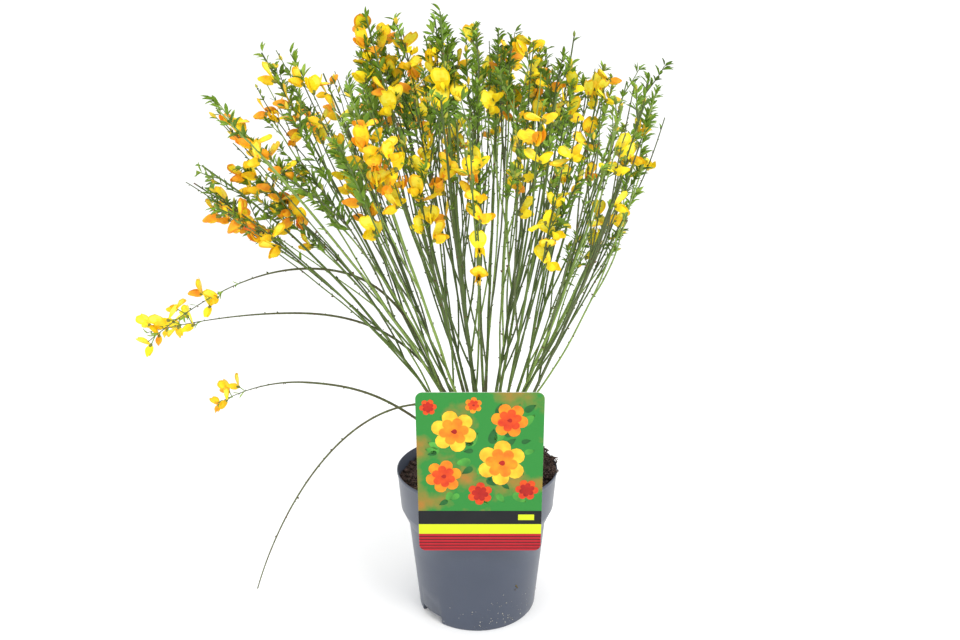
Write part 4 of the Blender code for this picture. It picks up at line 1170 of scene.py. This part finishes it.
def wing_shape(side, spread):
    """One wing petal, on the side given as 1 or -1."""
    points = []
    rows, columns = 6, 4
    for r in range(rows):
        b = r / (rows - 1)
        width = WING_WIDTH * (0.22 + 0.78 * math.sin(math.pi * min(0.93, 0.10 + 0.86 * b)) ** 0.7)
        for c in range(columns):
            a = c / (columns - 1) - 0.5
            x = 0.0015 + WING_LENGTH * b * (1 - 0.08 * (2 * a) ** 2)
            out = 0.0008 + (0.0012 + spread * 0.0022) * math.sin(math.pi * 0.8 * b) + 0.0009 * (0.5 - a) * b
            points.append((x, side * out, a * width - 0.0030 * b * b - 0.0003))
    return points, grid_faces(rows, columns), [4] * ((rows - 1) * (columns - 1))


def keel_shape():
    """The keel: a boat of two joined petals that curves up at its end."""
    points = []
    rows, columns = 6, 5
    for r in range(rows):
        b = r / (rows - 1)
        depth = 0.0040 * (0.35 + 0.65 * math.sin(math.pi * (0.12 + 0.76 * b)))
        for c in range(columns):
            a = 2 * c / (columns - 1) - 1
            x = 0.001 + KEEL_LENGTH * b
            z = -0.0012 - depth * (1 - a * a) - 0.0022 * b + 0.0024 * b**3
            points.append((x, a * 0.0011 * (1 - 0.6 * b), z))
    return points, grid_faces(rows, columns), [5] * ((rows - 1) * (columns - 1))


def calyx_shape():
    """The calyx, a cup with an uneven rim that tapers to the stalk."""
    points = []
    rings, sides = 4, 8
    for x, radius in ((-0.0014, 0.0006), (-0.0004, 0.0016), (0.0014, 0.0021), (0.0030, 0.0021)):
        for k in range(sides):
            turn = 2 * math.pi * k / sides
            lip = 0.0005 * math.sin(5 * turn) if x > 0.002 else 0.0
            points.append((x + lip, radius * math.cos(turn), radius * math.sin(turn)))
    return points, ring_faces(rings, sides)[:, ::-1].tolist(), [6] * ((rings - 1) * sides)


def flower_shape(openness):
    """Points, faces and zones of a flower. Zones: rim, standard, blush, throat, wings, keel, calyx."""
    wings = [wing_shape(side, openness) for side in (1, -1)]
    points, faces, zones = [], [], []
    for part in (standard_shape(openness), *wings, keel_shape(), calyx_shape()):
        faces += [[k + len(points) for k in face] for face in part[1]]
        points += part[0]
        zones += part[2]
    return np.array(points), np.array(faces), np.array(zones)


petal_tints = (
    ("lemon", (254, 244, 84), (250, 230, 48)),
    ("yellow", (252, 232, 40), (247, 210, 26)),
    ("gold", (248, 210, 34), (240, 180, 28)),
    ("amber", (242, 172, 34), (230, 136, 28)),
    ("orange", (232, 122, 30), (212, 86, 28)),
    ("bronze", (204, 86, 30), (168, 58, 26)),
)
petal_look = dict(patch=190.0, grain=2600.0, amount=1.0, roughness=0.5, spread=0.1, relief=0.15, shine=0.2)
petal_finishes = family("petal", petal_tints, **petal_look)
calyx_look = dict(patch=200.0, grain=2600.0, amount=0.8, roughness=0.6, spread=0.1, relief=0.2, shine=0.2)
petal_finishes.append(finish("calyx_green", (128, 136, 60), (110, 98, 46), **calyx_look))
# Which finish each zone takes, from the yellowest flowers to the most orange
FLOWER_TINTS = (
    (1, 0, 1, 2, 1, 1, 6),
    (2, 0, 1, 3, 2, 1, 6),
    (2, 1, 2, 3, 3, 2, 6),
    (3, 1, 2, 4, 3, 2, 6),
    (3, 2, 3, 4, 4, 3, 6),
    (4, 2, 3, 5, 5, 3, 6),
)
rng_flowers = random.Random(SEED + 700)
wanted = [round(stem[8] * FLOWER_SHARE) for stem in STEMS]
wanted += [round(arch[10] * ARCH_FLOWER_SHARE) for arch in ARCHES]
orange_share = [stem[9] for stem in STEMS] + list(ARCH_ORANGE)
taken = np.empty((0, 3))
by_opening = {openness: [] for openness in OPENINGS}
stalks = Gathering()
for index, count in enumerate(wanted):
    is_arch = index >= len(STEMS)
    own = [carrier for carrier in carriers if carrier[0] == index and carrier[4] != TWIG_RADII]
    rng_flowers.shuffle(own)
    own = own[: max(1, round(len(own) * FLOWERING_SHARE))]
    middle = 0.5 if is_arch else STEMS[index][10]
    middles = [min(BLOOM_TOP, middle + rng_flowers.uniform(-0.5, 1.2) * BLOOM_SHIFT) for _ in own]
    placed_here, tries = 0, 0
    while own and placed_here < count and tries < count * 20:
        tries += 1
        pick = rng_flowers.randrange(len(own))
        _, curve, start, end, _, _ = own[pick]
        if is_arch:
            share = rng_flowers.random()
        else:
            share = min(BLOOM_TOP, rng_flowers.gauss(middles[pick], BLOOM_SPREAD))
        t = start + (end - start) * share
        point, way, ahead = off_shoot(rng_flowers, curve, t, rng_flowers.uniform(0.6, 1.6))
        way = (way + Vector((0, 0, 0.15))).normalized()
        base = point + way * STALK * (1.3 if is_arch else 1.0)
        if len(taken) and np.min(np.linalg.norm(taken - np.array(base), axis=1)) < FLOWER_SPACING:
            continue
        taken = np.vstack([taken, tuple(base)])
        placed_here += 1
        face = Vector((base.x, base.y, 0.0)).normalized() * 0.35 + Vector((0, 0, -0.10))
        face = (face + way * 1.1 + jitter(rng_flowers, 0.6)).normalized()
        tint = orange_share[index] * 2.6 + rng_flowers.uniform(-1.3, 1.5)
        tint = max(0, min(len(FLOWER_TINTS) - 1, round(tint)))
        up = Vector((0, 0, 1.0)) + ahead * 0.5 + jitter(rng_flowers, 0.3)
        size = rng_flowers.uniform(*FLOWER_SIZES) * (ARCH_FLOWER_SIZE if is_arch else 1.0)
        flower = (tuple(base), tuple(face), tuple(up), (size,) * 3, tint)
        by_opening[rng_flowers.choice(OPENINGS)].append(flower)
        stalk = [point, point + way * STALK * 0.55, base - face * 0.0012]
        add_rod(stalks, stalk, (0.00045, 0.0005), 5, 0)
flowers = Gathering()
for openness, group in by_opening.items():
    shape, faces, zones = flower_shape(openness)
    places, ways, ups, sizes, tints = zip(*group)
    marks = [[FLOWER_TINTS[tint][zone] for zone in zones] for tint in tints]
    set_out(flowers, shape, faces, places, ways, ups, sizes, marks)
flowers.piece("flowers", petal_finishes, "shoots")
stalks.piece("flower_stalks", [leaf_finishes[2]], "shoots")

# Buds.
# Plump pointed buds near the tips of shoots and twigs, green turning yellow,
# six-sided and drawn out from a few rings.
BUD_SHARE = 0.6
BUD_LENGTHS = (0.0045, 0.0085)
BUD_WIDTH_SHARE = 0.42
BUD_SIDES = 6

# Rings of a bud one long and one wide: place along it, and its width there
BUD_RINGS = ((0.0, 0.25), (0.25, 0.85), (0.55, 1.0), (0.85, 0.55), (1.0, 0.08))
bud_points = []
for x, width in BUD_RINGS:
    for k in range(BUD_SIDES):
        turn = 2 * math.pi * k / BUD_SIDES
        bud_points.append((x, width * 0.5 * math.cos(turn), width * 0.5 * math.sin(turn)))
bud_faces = ring_faces(len(BUD_RINGS), BUD_SIDES)[:, ::-1]
bud_sets = []
for _, curve, start, end, _, grows in carriers:
    if grows and rng_flowers.random() < BUD_SHARE:
        for _ in range(rng_flowers.choice((1, 2, 3))):
            t = start + (end - start) * rng_flowers.uniform(0.8, 1.0)
            point, way, ahead = off_shoot(rng_flowers, curve, t, rng_flowers.uniform(0.2, 0.9))
            length = rng_flowers.uniform(*BUD_LENGTHS)
            sizes = (length, length * BUD_WIDTH_SHARE, length * BUD_WIDTH_SHARE)
            bud_sets.append((tuple(point), tuple(way), tuple(ahead), sizes))
bud_tints = [rng_flowers.choice((0, 0, 1, 2, 2)) for _ in bud_sets]
buds = Gathering()
set_out(buds, np.array(bud_points), bud_faces, *zip(*bud_sets), bud_tints)
bud_tints = (
    ("green", (128, 146, 66), (104, 122, 52)),
    ("lime", (178, 178, 66), (150, 152, 56)),
    ("yellow", (226, 204, 64), (210, 178, 48)),
)
bud_look = dict(patch=200.0, grain=2600.0, amount=0.8, roughness=0.5, spread=0.1, relief=0.15, shine=0.2)
bud_finishes = family("bud", bud_tints, **bud_look)
buds.piece("buds", bud_finishes, "shoots")
